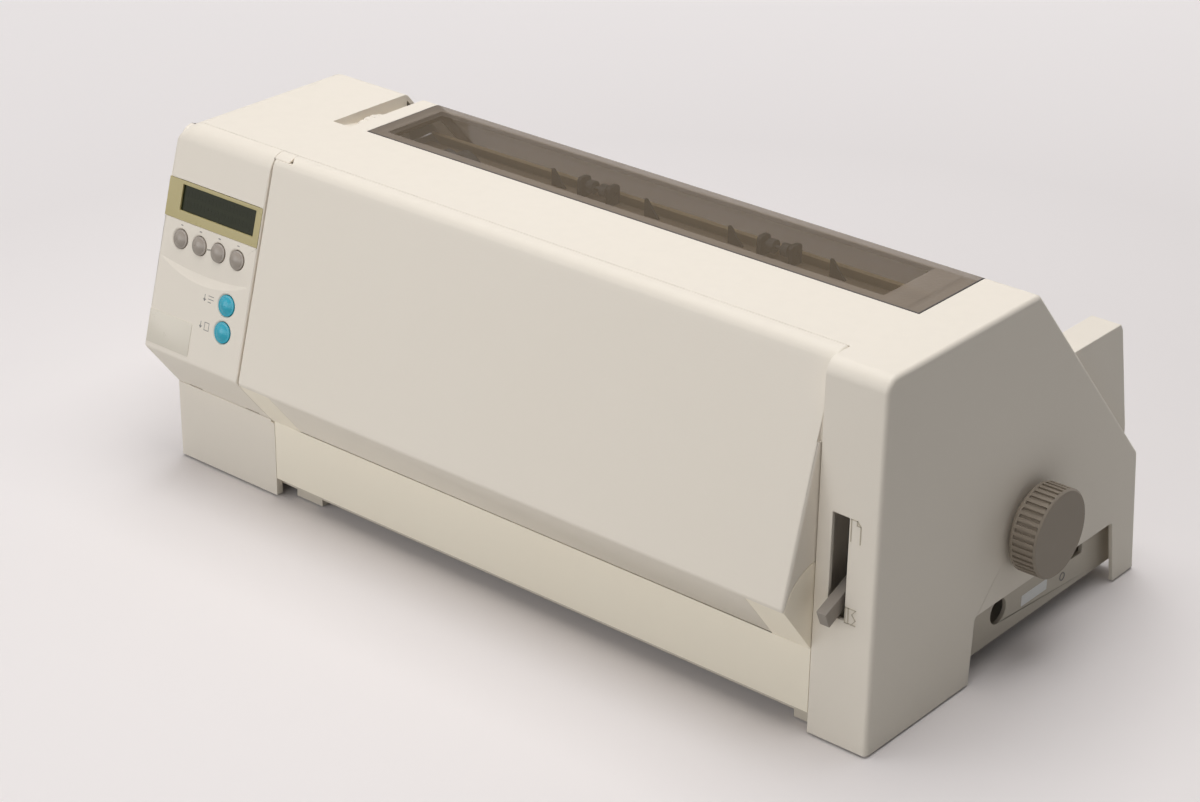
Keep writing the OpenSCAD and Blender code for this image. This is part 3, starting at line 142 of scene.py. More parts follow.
def group_sockets(tree, inputs, outputs):
    """Named sockets of a node group: (name, kind), and a default for inputs that need one."""
    for name, kind, *default in inputs:
        made = tree.interface.new_socket(name, in_out="INPUT", socket_type=kind)
        if default:
            made.default_value = default[0]
    for name, kind in outputs:
        tree.interface.new_socket(name, in_out="OUTPUT", socket_type=kind)
    return (
        add_node(tree, "NodeGroupInput", (-900, 0)),
        add_node(tree, "NodeGroupOutput", (900, 0)),
    )


def place_group(tree, group, place, **inputs):
    """A node group set in a material, with its own values."""
    made = add_node(tree, "ShaderNodeGroup", place)
    made.node_tree = group
    for key, value in inputs.items():
        made.inputs[key.replace("_", " ")].default_value = value
    return made


def add_relief(tree, shader, height, strength, distance):
    """Bump on a shader from a height, with its distance in metres."""
    relief = add_node(
        tree, "ShaderNodeBump", (300, -250), inputs={"Strength": strength, "Distance": distance}
    )
    tree.links.new(height, relief.inputs["Height"])
    tree.links.new(relief.outputs["Normal"], shader.inputs["Normal"])


def spark_grain_group():
    """Fine pebbled grain of a spark-eroded mould: Height varies between 0 and 1."""
    tree = bpy.data.node_groups.new("spark_grain", "ShaderNodeTree")
    given, result = group_sockets(
        tree, [("Grain Size", "NodeSocketFloat", 900.0)], [("Height", "NodeSocketFloat")]
    )
    place = add_node(tree, "ShaderNodeTexCoord", (-900, 200))
    pebbles = add_node(tree, "ShaderNodeTexVoronoi", (-500, 150), feature="SMOOTH_F1")
    pebbles.inputs["Smoothness"].default_value = 1.0
    specks = add_node(tree, "ShaderNodeTexNoise", (-500, -200), inputs={"Detail": 2.0})
    blend = add_node(tree, "ShaderNodeMix", (100, 0), data_type="FLOAT", inputs={0: 0.55})
    for texture in (pebbles, specks):
        tree.links.new(place.outputs["Object"], texture.inputs["Vector"])
        tree.links.new(given.outputs["Grain Size"], texture.inputs["Scale"])
    low, high, mixed = MIX_VALUE
    tree.links.new(pebbles.outputs["Distance"], blend.inputs[low])
    tree.links.new(specks.outputs["Fac"], blend.inputs[high])
    tree.links.new(blend.outputs[mixed], result.inputs["Height"])
    return tree


def ageing_group():
    """Uneven yellowing and handling marks of old plastic: Colour and Roughness."""
    tree = bpy.data.node_groups.new("aged_plastic", "ShaderNodeTree")
    given, result = group_sockets(
        tree,
        [
            ("Colour", "NodeSocketColor", (0.8, 0.8, 0.8, 1.0)),
            ("Aged Colour", "NodeSocketColor", (0.8, 0.7, 0.5, 1.0)),
            ("Ageing", "NodeSocketFloat", 0.3),
            ("Roughness", "NodeSocketFloat", 0.5),
            ("Scuffs", "NodeSocketFloat", 0.2),
        ],
        [("Colour", "NodeSocketColor"), ("Roughness", "NodeSocketFloat")],
    )
    place = add_node(tree, "ShaderNodeTexCoord", (-900, 300))
    clouds = add_node(
        tree, "ShaderNodeTexNoise", (-650, 300), inputs={"Scale": 5.0, "Detail": 3.0}
    )
    amount = add_node(tree, "ShaderNodeMath", (-350, 300), operation="MULTIPLY")
    tint = add_node(tree, "ShaderNodeMix", (0, 200), data_type="RGBA")
    marks = add_node(
        tree,
        "ShaderNodeTexNoise",
        (-650, -100),
        inputs={"Scale": 42.0, "Detail": 6.0, "Roughness": 0.7},
    )
    rare = add_node(
        tree, "ShaderNodeMapRange", (-350, -100), inputs={"From Min": 0.55, "From Max": 0.75}
    )
    scuff = add_node(tree, "ShaderNodeMath", (-100, -100), operation="MULTIPLY")
    shine = add_node(tree, "ShaderNodeMath", (200, -100), operation="SUBTRACT")
    link = tree.links.new
    link(place.outputs["Object"], clouds.inputs["Vector"])
    link(place.outputs["Object"], marks.inputs["Vector"])
    link(clouds.outputs["Fac"], amount.inputs[0])
    link(given.outputs["Ageing"], amount.inputs[1])
    low, high, mixed = MIX_COLOUR
    link(amount.outputs[0], tint.inputs[0])
    link(given.outputs["Colour"], tint.inputs[low])
    link(given.outputs["Aged Colour"], tint.inputs[high])
    link(tint.outputs[mixed], result.inputs["Colour"])
    link(marks.outputs["Fac"], rare.inputs["Value"])
    link(rare.outputs["Result"], scuff.inputs[0])
    link(given.outputs["Scuffs"], scuff.inputs[1])
    link(given.outputs["Roughness"], shine.inputs[0])
    link(scuff.outputs[0], shine.inputs[1])
    link(shine.outputs[0], result.inputs["Roughness"])
    return tree


def dust_group():
    """Dust that settles on upward faces: Colour, and a Mask for the roughness."""
    tree = bpy.data.node_groups.new("settled_dust", "ShaderNodeTree")
    given, result = group_sockets(
        tree,
        [
            ("Colour", "NodeSocketColor", (0.8, 0.8, 0.8, 1.0)),
            ("Dust Colour", "NodeSocketColor", (0.55, 0.53, 0.5, 1.0)),
            ("Amount", "NodeSocketFloat", 0.1),
        ],
        [("Colour", "NodeSocketColor"), ("Mask", "NodeSocketFloat")],
    )
    place = add_node(tree, "ShaderNodeTexCoord", (-900, 300))
    surface = add_node(tree, "ShaderNodeNewGeometry", (-900, -200))
    split = add_node(tree, "ShaderNodeSeparateXYZ", (-650, -200))
    up = add_node(
        tree, "ShaderNodeMapRange", (-400, -200), inputs={"From Min": 0.3, "From Max": 1.0}
    )
    lint = add_node(
        tree, "ShaderNodeTexNoise", (-650, 300), inputs={"Scale": 130.0, "Detail": 5.0}
    )
    patch = add_node(
        tree, "ShaderNodeMapRange", (-400, 300), inputs={"From Min": 0.4, "From Max": 0.7}
    )
    both = add_node(tree, "ShaderNodeMath", (-100, 0), operation="MULTIPLY")
    mask = add_node(tree, "ShaderNodeMath", (150, 0), operation="MULTIPLY")
    tint = add_node(tree, "ShaderNodeMix", (450, 150), data_type="RGBA")
    link = tree.links.new
    link(place.outputs["Object"], lint.inputs["Vector"])
    link(surface.outputs["Normal"], split.inputs[0])
    link(split.outputs["Z"], up.inputs["Value"])
    link(lint.outputs["Fac"], patch.inputs["Value"])
    link(up.outputs["Result"], both.inputs[0])
    link(patch.outputs["Result"], both.inputs[1])
    link(both.outputs[0], mask.inputs[0])
    link(given.outputs["Amount"], mask.inputs[1])
    low, high, mixed = MIX_COLOUR
    link(mask.outputs[0], tint.inputs[0])
    link(given.outputs["Colour"], tint.inputs[low])
    link(given.outputs["Dust Colour"], tint.inputs[high])
    link(tint.outputs[mixed], result.inputs["Colour"])
    link(mask.outputs[0], result.inputs["Mask"])
    return tree


def brushed_group():
    """Drawn or ground metal: fine lines along one axis, as Height and Roughness."""
    tree = bpy.data.node_groups.new("drawn_metal", "ShaderNodeTree")
    given, result = group_sockets(
        tree,
        [
            ("Line Scale", "NodeSocketVector", (4.0, 900.0, 900.0)),
            ("Roughness", "NodeSocketFloat", 0.3),
            ("Spread", "NodeSocketFloat", 0.2),
        ],
        [("Height", "NodeSocketFloat"), ("Roughness", "NodeSocketFloat")],
    )
    place = add_node(tree, "ShaderNodeTexCoord", (-900, 200))
    stretch = add_node(tree, "ShaderNodeVectorMath", (-650, 100), operation="MULTIPLY")
    lines = add_node(
        tree, "ShaderNodeTexNoise", (-400, 100), inputs={"Scale": 1.0, "Detail": 4.0}
    )
    spread = add_node(tree, "ShaderNodeMath", (0, -100), operation="MULTIPLY")
    rough = add_node(tree, "ShaderNodeMath", (300, -100), operation="ADD")
    link = tree.links.new
    link(place.outputs["Object"], stretch.inputs[0])
    link(given.outputs["Line Scale"], stretch.inputs[1])
    link(stretch.outputs[0], lines.inputs["Vector"])
    link(lines.outputs["Fac"], result.inputs["Height"])
    link(lines.outputs["Fac"], spread.inputs[0])
    link(given.outputs["Spread"], spread.inputs[1])
    link(spread.outputs[0], rough.inputs[0])
    link(given.outputs["Roughness"], rough.inputs[1])
    link(rough.outputs[0], result.inputs["Roughness"])
    return tree


SPARK_GRAIN = spark_grain_group()
AGED_PLASTIC = ageing_group()
SETTLED_DUST = dust_group()
DRAWN_METAL = brushed_group()


# --- Finishes ---
def srgb(red, green, blue):
    """A colour given as 0-255 screen values, in the linear values that shaders take."""
    def linear(level):
        """One channel's linear value."""
        level /= 255.0
        return level / 12.92 if level <= 0.04045 else ((level + 0.055) / 1.055) ** 2.4

    return (linear(red), linear(green), linear(blue), 1.0)


def blank_finish(name):
    """An empty material and its Principled shader."""
    made = bpy.data.materials.new(name)
    made.use_nodes = True
    tree = made.node_tree
    tree.nodes.clear()
    shader = add_node(tree, "ShaderNodeBsdfPrincipled", (600, 0))
    output = add_node(tree, "ShaderNodeOutputMaterial", (900, 0))
    tree.links.new(shader.outputs[0], output.inputs["Surface"])
    return made, tree, shader


def moulded_plastic(
    name, colour, aged, ageing=0.35, rough=0.5, grain=900.0, depth=0.15, dust=0.02, specular=0.4
):
    """Moulded plastic: grain in the bump, uneven yellowing, scuffs that shine, and dust."""
    made, tree, shader = blank_finish(name)
    age = place_group(
        tree, AGED_PLASTIC, (-300, 200), Colour=srgb(*colour), Aged_Colour=srgb(*aged),
        Ageing=ageing, Roughness=rough, Scuffs=0.12,
    )
    settled = place_group(
        tree, SETTLED_DUST, (0, 200), Dust_Colour=srgb(150, 144, 134), Amount=dust
    )
    pebbles = place_group(tree, SPARK_GRAIN, (-300, -250), Grain_Size=grain)
    add_relief(tree, shader, pebbles.outputs["Height"], depth, 0.0004)
    link = tree.links.new
    link(age.outputs["Colour"], settled.inputs["Colour"])
    link(settled.outputs["Colour"], shader.inputs["Base Color"])
    link(age.outputs["Roughness"], shader.inputs["Roughness"])
    shader.inputs["Specular IOR Level"].default_value = specular
    return made


def drawn_metal(name, colour, lines, rough, spread=0.2):
    """Bare metal with fine lines along the way it was drawn or ground."""
    made, tree, shader = blank_finish(name)
    draw = place_group(
        tree, DRAWN_METAL, (-200, -100), Line_Scale=lines, Roughness=rough, Spread=spread
    )
    add_relief(tree, shader, draw.outputs["Height"], 0.1, 0.0002)
    shader.inputs["Base Color"].default_value = srgb(*colour)
    shader.inputs["Metallic"].default_value = 1.0
    tree.links.new(draw.outputs["Roughness"], shader.inputs["Roughness"])
    return made


# Plastics: the colour when new, the colour when aged, and what differs from the usual finish
PLASTICS = {
    "case_plastic": ((240, 232, 220), (236, 226, 208), {"ageing": 0.25}),
    # The lower panel's near white is partly its own paler, yellower plastic and partly painted
    # light, brightened past the case's to stand in for the floor's bounce light on it
    "panel_plastic": ((255, 247, 230), (250, 238, 216), {"ageing": 0.5}),
    "pan_plastic": ((214, 206, 193), (206, 194, 174), {}),
    "bezel_plastic": (
        (186, 173, 122), (174, 160, 106),
        {"rough": 0.3, "grain": 300.0, "depth": 0.03, "dust": 0.03, "specular": 0.5},
    ),
    "grey_key": (
        (162, 152, 142), (150, 140, 128), {"rough": 0.3, "depth": 0.06, "specular": 0.6}
    ),
    "blue_key": (
        (48, 174, 198), (38, 158, 182), {"rough": 0.26, "depth": 0.04, "specular": 0.5}
    ),
    "key_rubber": ((214, 212, 206), (204, 198, 186), {"rough": 0.7}),
    "circuit_board": (
        (38, 104, 70), (28, 84, 54), {"rough": 0.35, "grain": 500.0, "depth": 0.1}
    ),
    "black_rubber": ((44, 43, 42), (54, 51, 48), {"rough": 0.78, "grain": 700.0, "dust": 0.15}),
    "knob_plastic": ((152, 141, 128), (142, 131, 116), {"dust": 0.06}),
    "gear_plastic": ((232, 228, 214), (222, 213, 190), {}),
    "motor_metal": ((62, 62, 64), (54, 54, 55), {"rough": 0.4, "grain": 400.0, "depth": 0.1}),
    "tractor_plastic": ((52, 54, 56), (60, 58, 55), {}),
    "carriage_plastic": ((62, 64, 67), (70, 68, 66), {}),
    "guide_plastic": ((228, 204, 164), (216, 190, 148), {}),
    "lever_plastic": ((156, 148, 140), (146, 137, 126), {}),
    "black_plastic": ((34, 34, 35), (42, 40, 38), {}),
    "display_glass": (
        (42, 45, 26), (38, 41, 22),
        {"rough": 0.3, "grain": 200.0, "depth": 0.01, "specular": 0.16},
    ),
    "display_cell": (
        (39, 42, 24), (36, 39, 21), {"rough": 0.3, "depth": 0.0, "dust": 0.0, "specular": 0.16}
    ),
    "badge_satin": ((226, 219, 205), (218, 210, 194), {"rough": 0.3, "depth": 0.04}),
    # Raised signs: darker than the case as painted shade of their relief, with real yellowing and
    # dust
    "worn_relief": (
        (206, 197, 180), (192, 182, 162), {"ageing": 0.6, "depth": 0.05, "dust": 0.1}
    ),
    # Grey ink of the printed marks; the pan's moulded ring is drawn in it too, as painted shade of
    # its relief
    "grey_ink": ((150, 146, 142), (142, 138, 133), {"rough": 0.6}),
    "white_label": (
        (252, 253, 252), (244, 243, 238), {"rough": 0.35, "depth": 0.03, "dust": 0.0}
    ),
}
# Bare metals: colour, scale of the lines along each axis, roughness and how much it varies
METALS = {
    "sheet_steel": ((190, 192, 194), (700.0, 6.0, 700.0), 0.34),
    "rod_steel": ((214, 214, 214), (3.0, 900.0, 900.0), 0.16, 0.15),
    "head_metal": ((150, 150, 152), (300.0, 300.0, 300.0), 0.5),
    "supply_metal": ((198, 200, 202), (8.0, 700.0, 700.0), 0.32),
    "gold_contact": ((222, 184, 110), (9.0, 700.0, 9.0), 0.2),
}
FINISHES = {
    name: moulded_plastic(name, new, aged, **rest) for name, (new, aged, rest) in PLASTICS.items()
}
FINISHES.update({name: drawn_metal(name, *looks) for name, looks in METALS.items()})


def box_mask(tree, split, low, high, row):
    """A mask that is 1 between two corners, given as (x, y) in the frame, and 0 outside."""
    blur = 0.2 * MM
    inside = None
    for column, (axis, start, end) in enumerate((("X", low.x, high.x), ("Y", low.y, high.y))):
        for side, (edge, way) in enumerate(((start, 1), (end, -1))):
            place = (-850 + 60 * column, row - 150 * (2 * column + side))
            step = add_node(
                tree, "ShaderNodeMapRange", place,
                inputs={"From Min": edge - way * blur, "From Max": edge + way * blur},
            )
            tree.links.new(split.outputs[axis], step.inputs["Value"])
            if inside is None:
                inside = step.outputs["Result"]
                continue
            both = add_node(tree, "ShaderNodeMath", (-600, place[1]), operation="MULTIPLY")
            tree.links.new(inside, both.inputs[0])
            tree.links.new(step.outputs["Result"], both.inputs[1])
            inside = both.outputs[0]
    return inside


def exit_bar_shade_finish():
    """Pale bar with dark brackets and fins on it, told apart by their height; both tones are
    painted shade: the bar is the guide's tan dimmed as in shade, and the near black is the shaded
    silhouettes of the brackets and fins.
    """
    made, tree, shader = blank_finish("exit_bar")
    place = add_node(tree, "ShaderNodeTexCoord", (-900, 0))
    split = add_node(tree, "ShaderNodeSeparateXYZ", (-700, 0))
    above = add_node(
        tree, "ShaderNodeMapRange", (-450, 0),
        inputs={"From Min": (BAR_TOP - 0.05) * MM, "From Max": (BAR_TOP + 0.05) * MM},
    )
    low, high, mixed = MIX_COLOUR
    # Painted shade: the dimmed tan of the bar, and the near black of the brackets and fins above
    # its top
    tone = add_node(
        tree, "ShaderNodeMix", (-150, 100), data_type="RGBA",
        inputs={low: srgb(196, 176, 148), high: srgb(26, 24, 23)},
    )
    grain = place_group(tree, SPARK_GRAIN, (-150, -250), Grain_Size=900.0)
    add_relief(tree, shader, grain.outputs["Height"], 0.12, 0.0004)
    link = tree.links.new
    link(place.outputs["Object"], split.inputs[0])
    link(split.outputs["Z"], above.inputs["Value"])
    link(above.outputs["Result"], tone.inputs[0])
    link(tone.outputs[mixed], shader.inputs["Base Color"])
    return made


def smoke_window_finish():
    """Smoked plastic: clear in the middle, textured round its border, dark along its rim as a
    painted shadow of the gap round the lid.
    """
    made, tree, shader = blank_finish("smoke_window")
    place = add_node(tree, "ShaderNodeTexCoord", (-1300, 0))
    split = add_node(tree, "ShaderNodeSeparateXYZ", (-1100, 0))
    tree.links.new(place.outputs["Object"], split.inputs[0])
    clear = box_mask(
        tree, split, in_frame(CLEAR_X[0], CLEAR_Y[0], 0), in_frame(CLEAR_X[1], CLEAR_Y[1], 0), 600
    )
    inside_shadow_rim = box_mask(
        tree, split, in_frame(LID_X[0] + LID_SHADOW_RIM, LID_Y + LID_SHADOW_RIM, 0),
        in_frame(LID_X[1] - LID_SHADOW_RIM, FAR_BACK, 0), -200,
    )
    grain = place_group(tree, SPARK_GRAIN, (-600, -750), Grain_Size=520.0)
    link = tree.links.new
    # Each value goes from the rim's, to the border's, to the clear middle's
    # Painted shade and light: the rim's near black stands for the shadow in the gap round the lid,
    # and the clear middle's pale tan is partly the smoke's tint and partly painted light, standing
    # for the lit guide seen through it
    for row, (name, data, looks) in enumerate((
        ("Base Color", "RGBA", (srgb(44, 36, 30), srgb(134, 118, 98), srgb(114, 93, 58))),
        ("Alpha", "FLOAT", (0.95, 0.62, 0.25)),
        ("Roughness", "FLOAT", (0.4, 0.34, 0.07)),
        ("Height", "FLOAT", (0.0, None, 0.0)),
    )):
        first = add_node(tree, "ShaderNodeMix", (-200, 500 - 250 * row), data_type=data)
        second = add_node(tree, "ShaderNodeMix", (50, 500 - 250 * row), data_type=data)
        low, high, mixed = MIX_COLOUR if data == "RGBA" else MIX_VALUE
        link(inside_shadow_rim, first.inputs[0])
        link(clear, second.inputs[0])
        first.inputs[low].default_value = looks[0]
        if looks[1] is None:
            link(grain.outputs["Height"], first.inputs[high])
        else:
            first.inputs[high].default_value = looks[1]
        link(first.outputs[mixed], second.inputs[low])
        second.inputs[high].default_value = looks[2]
        if name == "Height":
            add_relief(tree, shader, second.outputs[mixed], 0.3, 0.0005)
        else:
            link(second.outputs[mixed], shader.inputs[name])
    return made


FINISHES["smoke_window"] = smoke_window_finish()


# --- Mesh helpers ---
def into_scene(name, data):
    """A new object, linked into the scene."""
    made = bpy.data.objects.new(name, data)
    bpy.context.scene.collection.objects.link(made)
    return made


def as_mesh(form, name, turn_faces=True):
    """A finished mesh from a bmesh, with its faces turned outwards unless they already are."""
    if turn_faces:
        bmesh.ops.recalc_face_normals(form, faces=form.faces)
    mesh = bpy.data.meshes.new(name)
    form.to_mesh(mesh)
    form.free()
    return mesh


def finished(name, mesh, body, slot, finish=None, sharp=35.0):
    """Puts a mesh into the scene as a piece that rides on a body; edges that turn by more than
    the sharp angle stay crisp."""
    made = into_scene(name, mesh)
    mesh.materials.clear()
    mesh.materials.append(finish or FINISHES[slot])
    if sharp:
        mesh.shade_smooth()
        mesh.set_sharp_from_angle(angle=math.radians(sharp))
    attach(made, body)
    return made


def easing(width, angle, **more):
    """A bevel, as (kind, settings), along edges that turn by more than an angle in degrees."""
    return ("BEVEL", {
        "width": width * MM, "segments": 2, "limit_method": "ANGLE",
        "angle_limit": math.radians(angle), **more,
    })


def baked(source, *modifiers):
    """The mesh of an object once its modifiers are done, each given as (kind, settings)."""
    for kind, settings in modifiers:
        step = source.modifiers.new(kind.lower(), kind)
        for key, value in settings.items():
            setattr(step, key, value)
    graph = bpy.context.evaluated_depsgraph_get()
    mesh = bpy.data.meshes.new_from_object(source.evaluated_get(graph))
    bpy.data.objects.remove(source)
    return mesh


def round_inner_corner(form):
    """Rounds the corner inside the left end, between its wall and the roof over it."""
    form.normal_update()
    inside = in_frame(END_WALL - HALF_W, 0, SOFT_END_FROM)
    corner = [
        line for line in form.edges
        if all(v.co.x < inside.x and v.co.z > inside.z for v in line.verts)
        and any(f.normal.x > FLAT_END for f in line.link_faces)
        and any(f.normal.z < -0.3 for f in line.link_faces)
    ]
    bmesh.ops.bevel(
        form, geom=corner, offset=SOFT_INNER_R * MM, segments=4, profile=0.5, affect="EDGES",
        clamp_overlap=True,
    )


def shape_ends(form):
    """Gives the rounds along both ends of the case their radii: each point moves with its arc."""
    middle = in_frame(0, 0, 0).x
    form.normal_update()
    moves = []
    for vert in form.verts:
        side = math.copysign(1.0, vert.co.x - middle)
        reach = abs(vert.co.x - middle) / MM - (HALF_W - END_R)
        rounds = [f.normal for f in vert.link_faces if NOT_END < f.normal.x * side < FLAT_END]
        if reach < -0.01 or not rounds:
            continue
        outward = sum((Vector((0, n.y, n.z)) for n in rounds), Vector()).normalized()
        sine = min(reach / END_R, 1.0)
        cosine = math.sqrt(1.0 - sine * sine)
        radius = CRISP_END_R
        if side < 0:
            radius = END_R
            if vert.co.z > SOFT_END_FROM * MM:
                rise = max(0.0, outward.z - math.sin(LEAN)) / (1.0 - math.sin(LEAN))
                radius += (SOFT_END_R - END_R) * rise
        move = outward * (1.0 - cosine) + Vector((side * (1.0 - sine), 0, 0))
        moves.append((vert, move * (END_R - radius) * MM))
    for vert, move in moves:
        vert.co += move


def tighten_brow(form, centre_y, lean):
    """Draws the round edge along the front of the deck in to a smaller radius: both faces run on
    as they are, and the round between them moves out with the wall behind it."""
    up = Vector((0.0, 0.0, 1.0))
    ahead = Vector((0.0, -math.cos(lean), math.sin(lean)))
    centre = in_frame(0, centre_y, BODY_H - BROW_R)
    corner = (up + ahead) / (1.0 + up.dot(ahead))
    slack = 0.1
    low, high = math.radians(90.0 - slack), math.radians(180.0 + slack) - lean
    for vert in form.verts:
        spoke = Vector((0.0, vert.co.y - centre.y, vert.co.z - centre.z))
        depth = BROW_R - spoke.length / MM
        turn = math.atan2(spoke.z, spoke.y) % math.tau
        if -slack < depth < BROW_DEPTH and low < turn < high:
            vert.co += (corner - spoke.normalized()) * (BROW_R - CRISP_BROW_R) * MM


def keep_within(mesh, solid):
    """Holds every point of a mesh inside the box of the solid that it was made from."""
    low, high = ([pick(axis) for axis in zip(*(v.co for v in solid.vertices))]
                 for pick in (min, max))
    for vert in mesh.vertices:
        vert.co = [min(max(c, a), b) for c, a, b in zip(vert.co, low, high)]


def sort_faces(form):
    """Puts faces in the order of their corners, so that every run builds the same mesh."""
    form.verts.index_update()
    count = len(form.verts)

    def rank(face):
        """The indices of the face's corners, read as the digits of one number."""
        total = 0
        for index in sorted(vert.index for vert in face.verts):
            total = total * count + index
        return total

    form.faces.sort(key=rank)


def merged_copy(node, crease=None):
    """A CAD node's mesh with its loose triangles joined into whole faces; edges that turn by more
    than the crease angle stay crisp."""
    form = bmesh.new()
    form.from_mesh(frame["nodes"][node].data)
    bmesh.ops.remove_doubles(form, verts=form.verts, dist=SAME_POINT)
    bmesh.ops.dissolve_limit(
        form, angle_limit=math.radians(SAME_FACE), verts=form.verts, edges=form.edges
    )
    if node in ROUND_ENDED:
        round_inner_corner(form)
        shape_ends(form)
    if node in BROWS:
        tighten_brow(form, *BROWS[node])
    if crease:
        for line in form.edges:
            line.smooth = line.calc_face_angle(0.0) < math.radians(crease)
    # Faces with many corners are cut up first, so that the easing can't fold them over
    many_sided = [face for face in form.faces if len(face.verts) > 4]
    bmesh.ops.triangulate(form, faces=many_sided, ngon_method="BEAUTY")
    sort_faces(form)
    for face in form.faces:
        face.smooth = True
    return as_mesh(form, node + "_merged", turn_faces=False)


def add_eased(node, edge, crease=None):
    """A copy of a moulding with its sharp edges eased, which stands for the CAD node."""
    solid = frame["nodes"][node]
    mesh = baked(
        into_scene(node + "_source", merged_copy(node, crease)),
        easing(edge, EASED_ANGLE, use_clamp_overlap=False, miter_outer="MITER_ARC"),
        ("WEIGHTED_NORMAL", {"mode": "FACE_AREA", "weight": 100, "keep_sharp": True}),
    )
    keep_within(mesh, solid.data)
    mesh.name = node + "_eased"
    made = finished(mesh.name, mesh, solid["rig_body"], SLOT_OF[node], sharp=None)
    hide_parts(node)


SLOT_OF = {part["node"]: part["material_slot"] for part in frame["record"]["subparts"]}


def dress_frame():
    """Gives every CAD node its finish."""
    special = {
        "exit_guide_bar": exit_bar_shade_finish(), "exit_rollers": FINISHES["carriage_plastic"],
    }
    for node, thing in frame["nodes"].items():
        thing.data.materials.clear()
        thing.data.materials.append(special.get(node, FINISHES[SLOT_OF[node]]))


# --- Geometry node trees for parts that repeat ---
def join_copies(tree, given, result, copies):
    """The end of a repeating tree: its copies become one mesh with the given finish."""
    solid = add_node(tree, "GeometryNodeRealizeInstances", (300, 0))
    finish = add_node(tree, "GeometryNodeSetMaterial", (600, 0))
    link = tree.links.new
    link(copies.outputs["Instances"], solid.inputs["Geometry"])
    link(solid.outputs["Geometry"], finish.inputs["Geometry"])
    link(given.outputs["Finish"], finish.inputs["Material"])
    link(finish.outputs["Geometry"], result.inputs["Set"])


def row_tree():
    """Copies of a part set out in rows, joined into one mesh."""
    tree = bpy.data.node_groups.new("parts_in_rows", "GeometryNodeTree")
    given, result = group_sockets(
        tree,
        [
            ("Part", "NodeSocketGeometry"), ("Count", "NodeSocketInt"),
            ("Step", "NodeSocketVector"), ("Rows", "NodeSocketInt"),
            ("Row Step", "NodeSocketVector"), ("Finish", "NodeSocketMaterial"),
        ],
        [("Set", "NodeSocketGeometry")],
    )
    rows = add_node(tree, "GeometryNodeMeshLine", (-600, 200), mode="OFFSET")
    row = add_node(tree, "GeometryNodeMeshLine", (-600, -100), mode="OFFSET")
    first = add_node(tree, "GeometryNodeInstanceOnPoints", (-300, 0))
    second = add_node(tree, "GeometryNodeInstanceOnPoints", (0, 0))
    link = tree.links.new
    link(given.outputs["Rows"], rows.inputs["Count"])
    link(given.outputs["Row Step"], rows.inputs["Offset"])
    link(given.outputs["Count"], row.inputs["Count"])
    link(given.outputs["Step"], row.inputs["Offset"])
    link(row.outputs["Mesh"], first.inputs["Points"])
    link(given.outputs["Part"], first.inputs["Instance"])
    link(rows.outputs["Mesh"], second.inputs["Points"])
    link(first.outputs["Instances"], second.inputs["Instance"])
    join_copies(tree, given, result, second)
    return tree


def point_tree():
    """Copies of a part at the points of a mesh, turned along their facing, as one mesh."""
    tree = bpy.data.node_groups.new("parts_at_points", "GeometryNodeTree")
    given, result = group_sockets(
        tree,
        [
            ("Points", "NodeSocketGeometry"), ("Part", "NodeSocketObject"),
            ("Size", "NodeSocketFloat"), ("Finish", "NodeSocketMaterial"),
        ],
        [("Set", "NodeSocketGeometry")],
    )
    facing = add_node(
        tree, "GeometryNodeInputNamedAttribute", (-900, -250), data_type="FLOAT_VECTOR",
        inputs={"Name": "facing"},
    )
    turn = add_node(tree, "FunctionNodeAlignRotationToVector", (-600, -250), axis="Z")
    part = add_node(tree, "GeometryNodeObjectInfo", (-600, 100))
    place = add_node(tree, "GeometryNodeInstanceOnPoints", (-200, 0))
    link = tree.links.new
    link(given.outputs["Part"], part.inputs["Object"])
    link(facing.outputs["Attribute"], turn.inputs["Vector"])
    link(given.outputs["Points"], place.inputs["Points"])
    link(part.outputs["Geometry"], place.inputs["Instance"])
    link(turn.outputs["Rotation"], place.inputs["Rotation"])
    link(given.outputs["Size"], place.inputs["Scale"])
    join_copies(tree, given, result, place)
    return tree


PARTS_IN_ROWS = row_tree()
PARTS_AT_POINTS = point_tree()


def set_out(name, mesh, tree, body, slot, finish=None, **values):
    """Runs one of the repeating trees on a mesh and keeps the result as a piece."""
    source = into_scene(name + "_source", mesh)
    step = source.modifiers.new("repeat", "NODES")
    step.node_group = tree
    values["Finish"] = finish or FINISHES[slot]
    for socket in tree.interface.items_tree:
        if socket.in_out == "INPUT" and socket.name.replace(" ", "_") in values:
            step[socket.identifier] = values[socket.name.replace(" ", "_")]
    finished(name, baked(source), body, slot, finish)


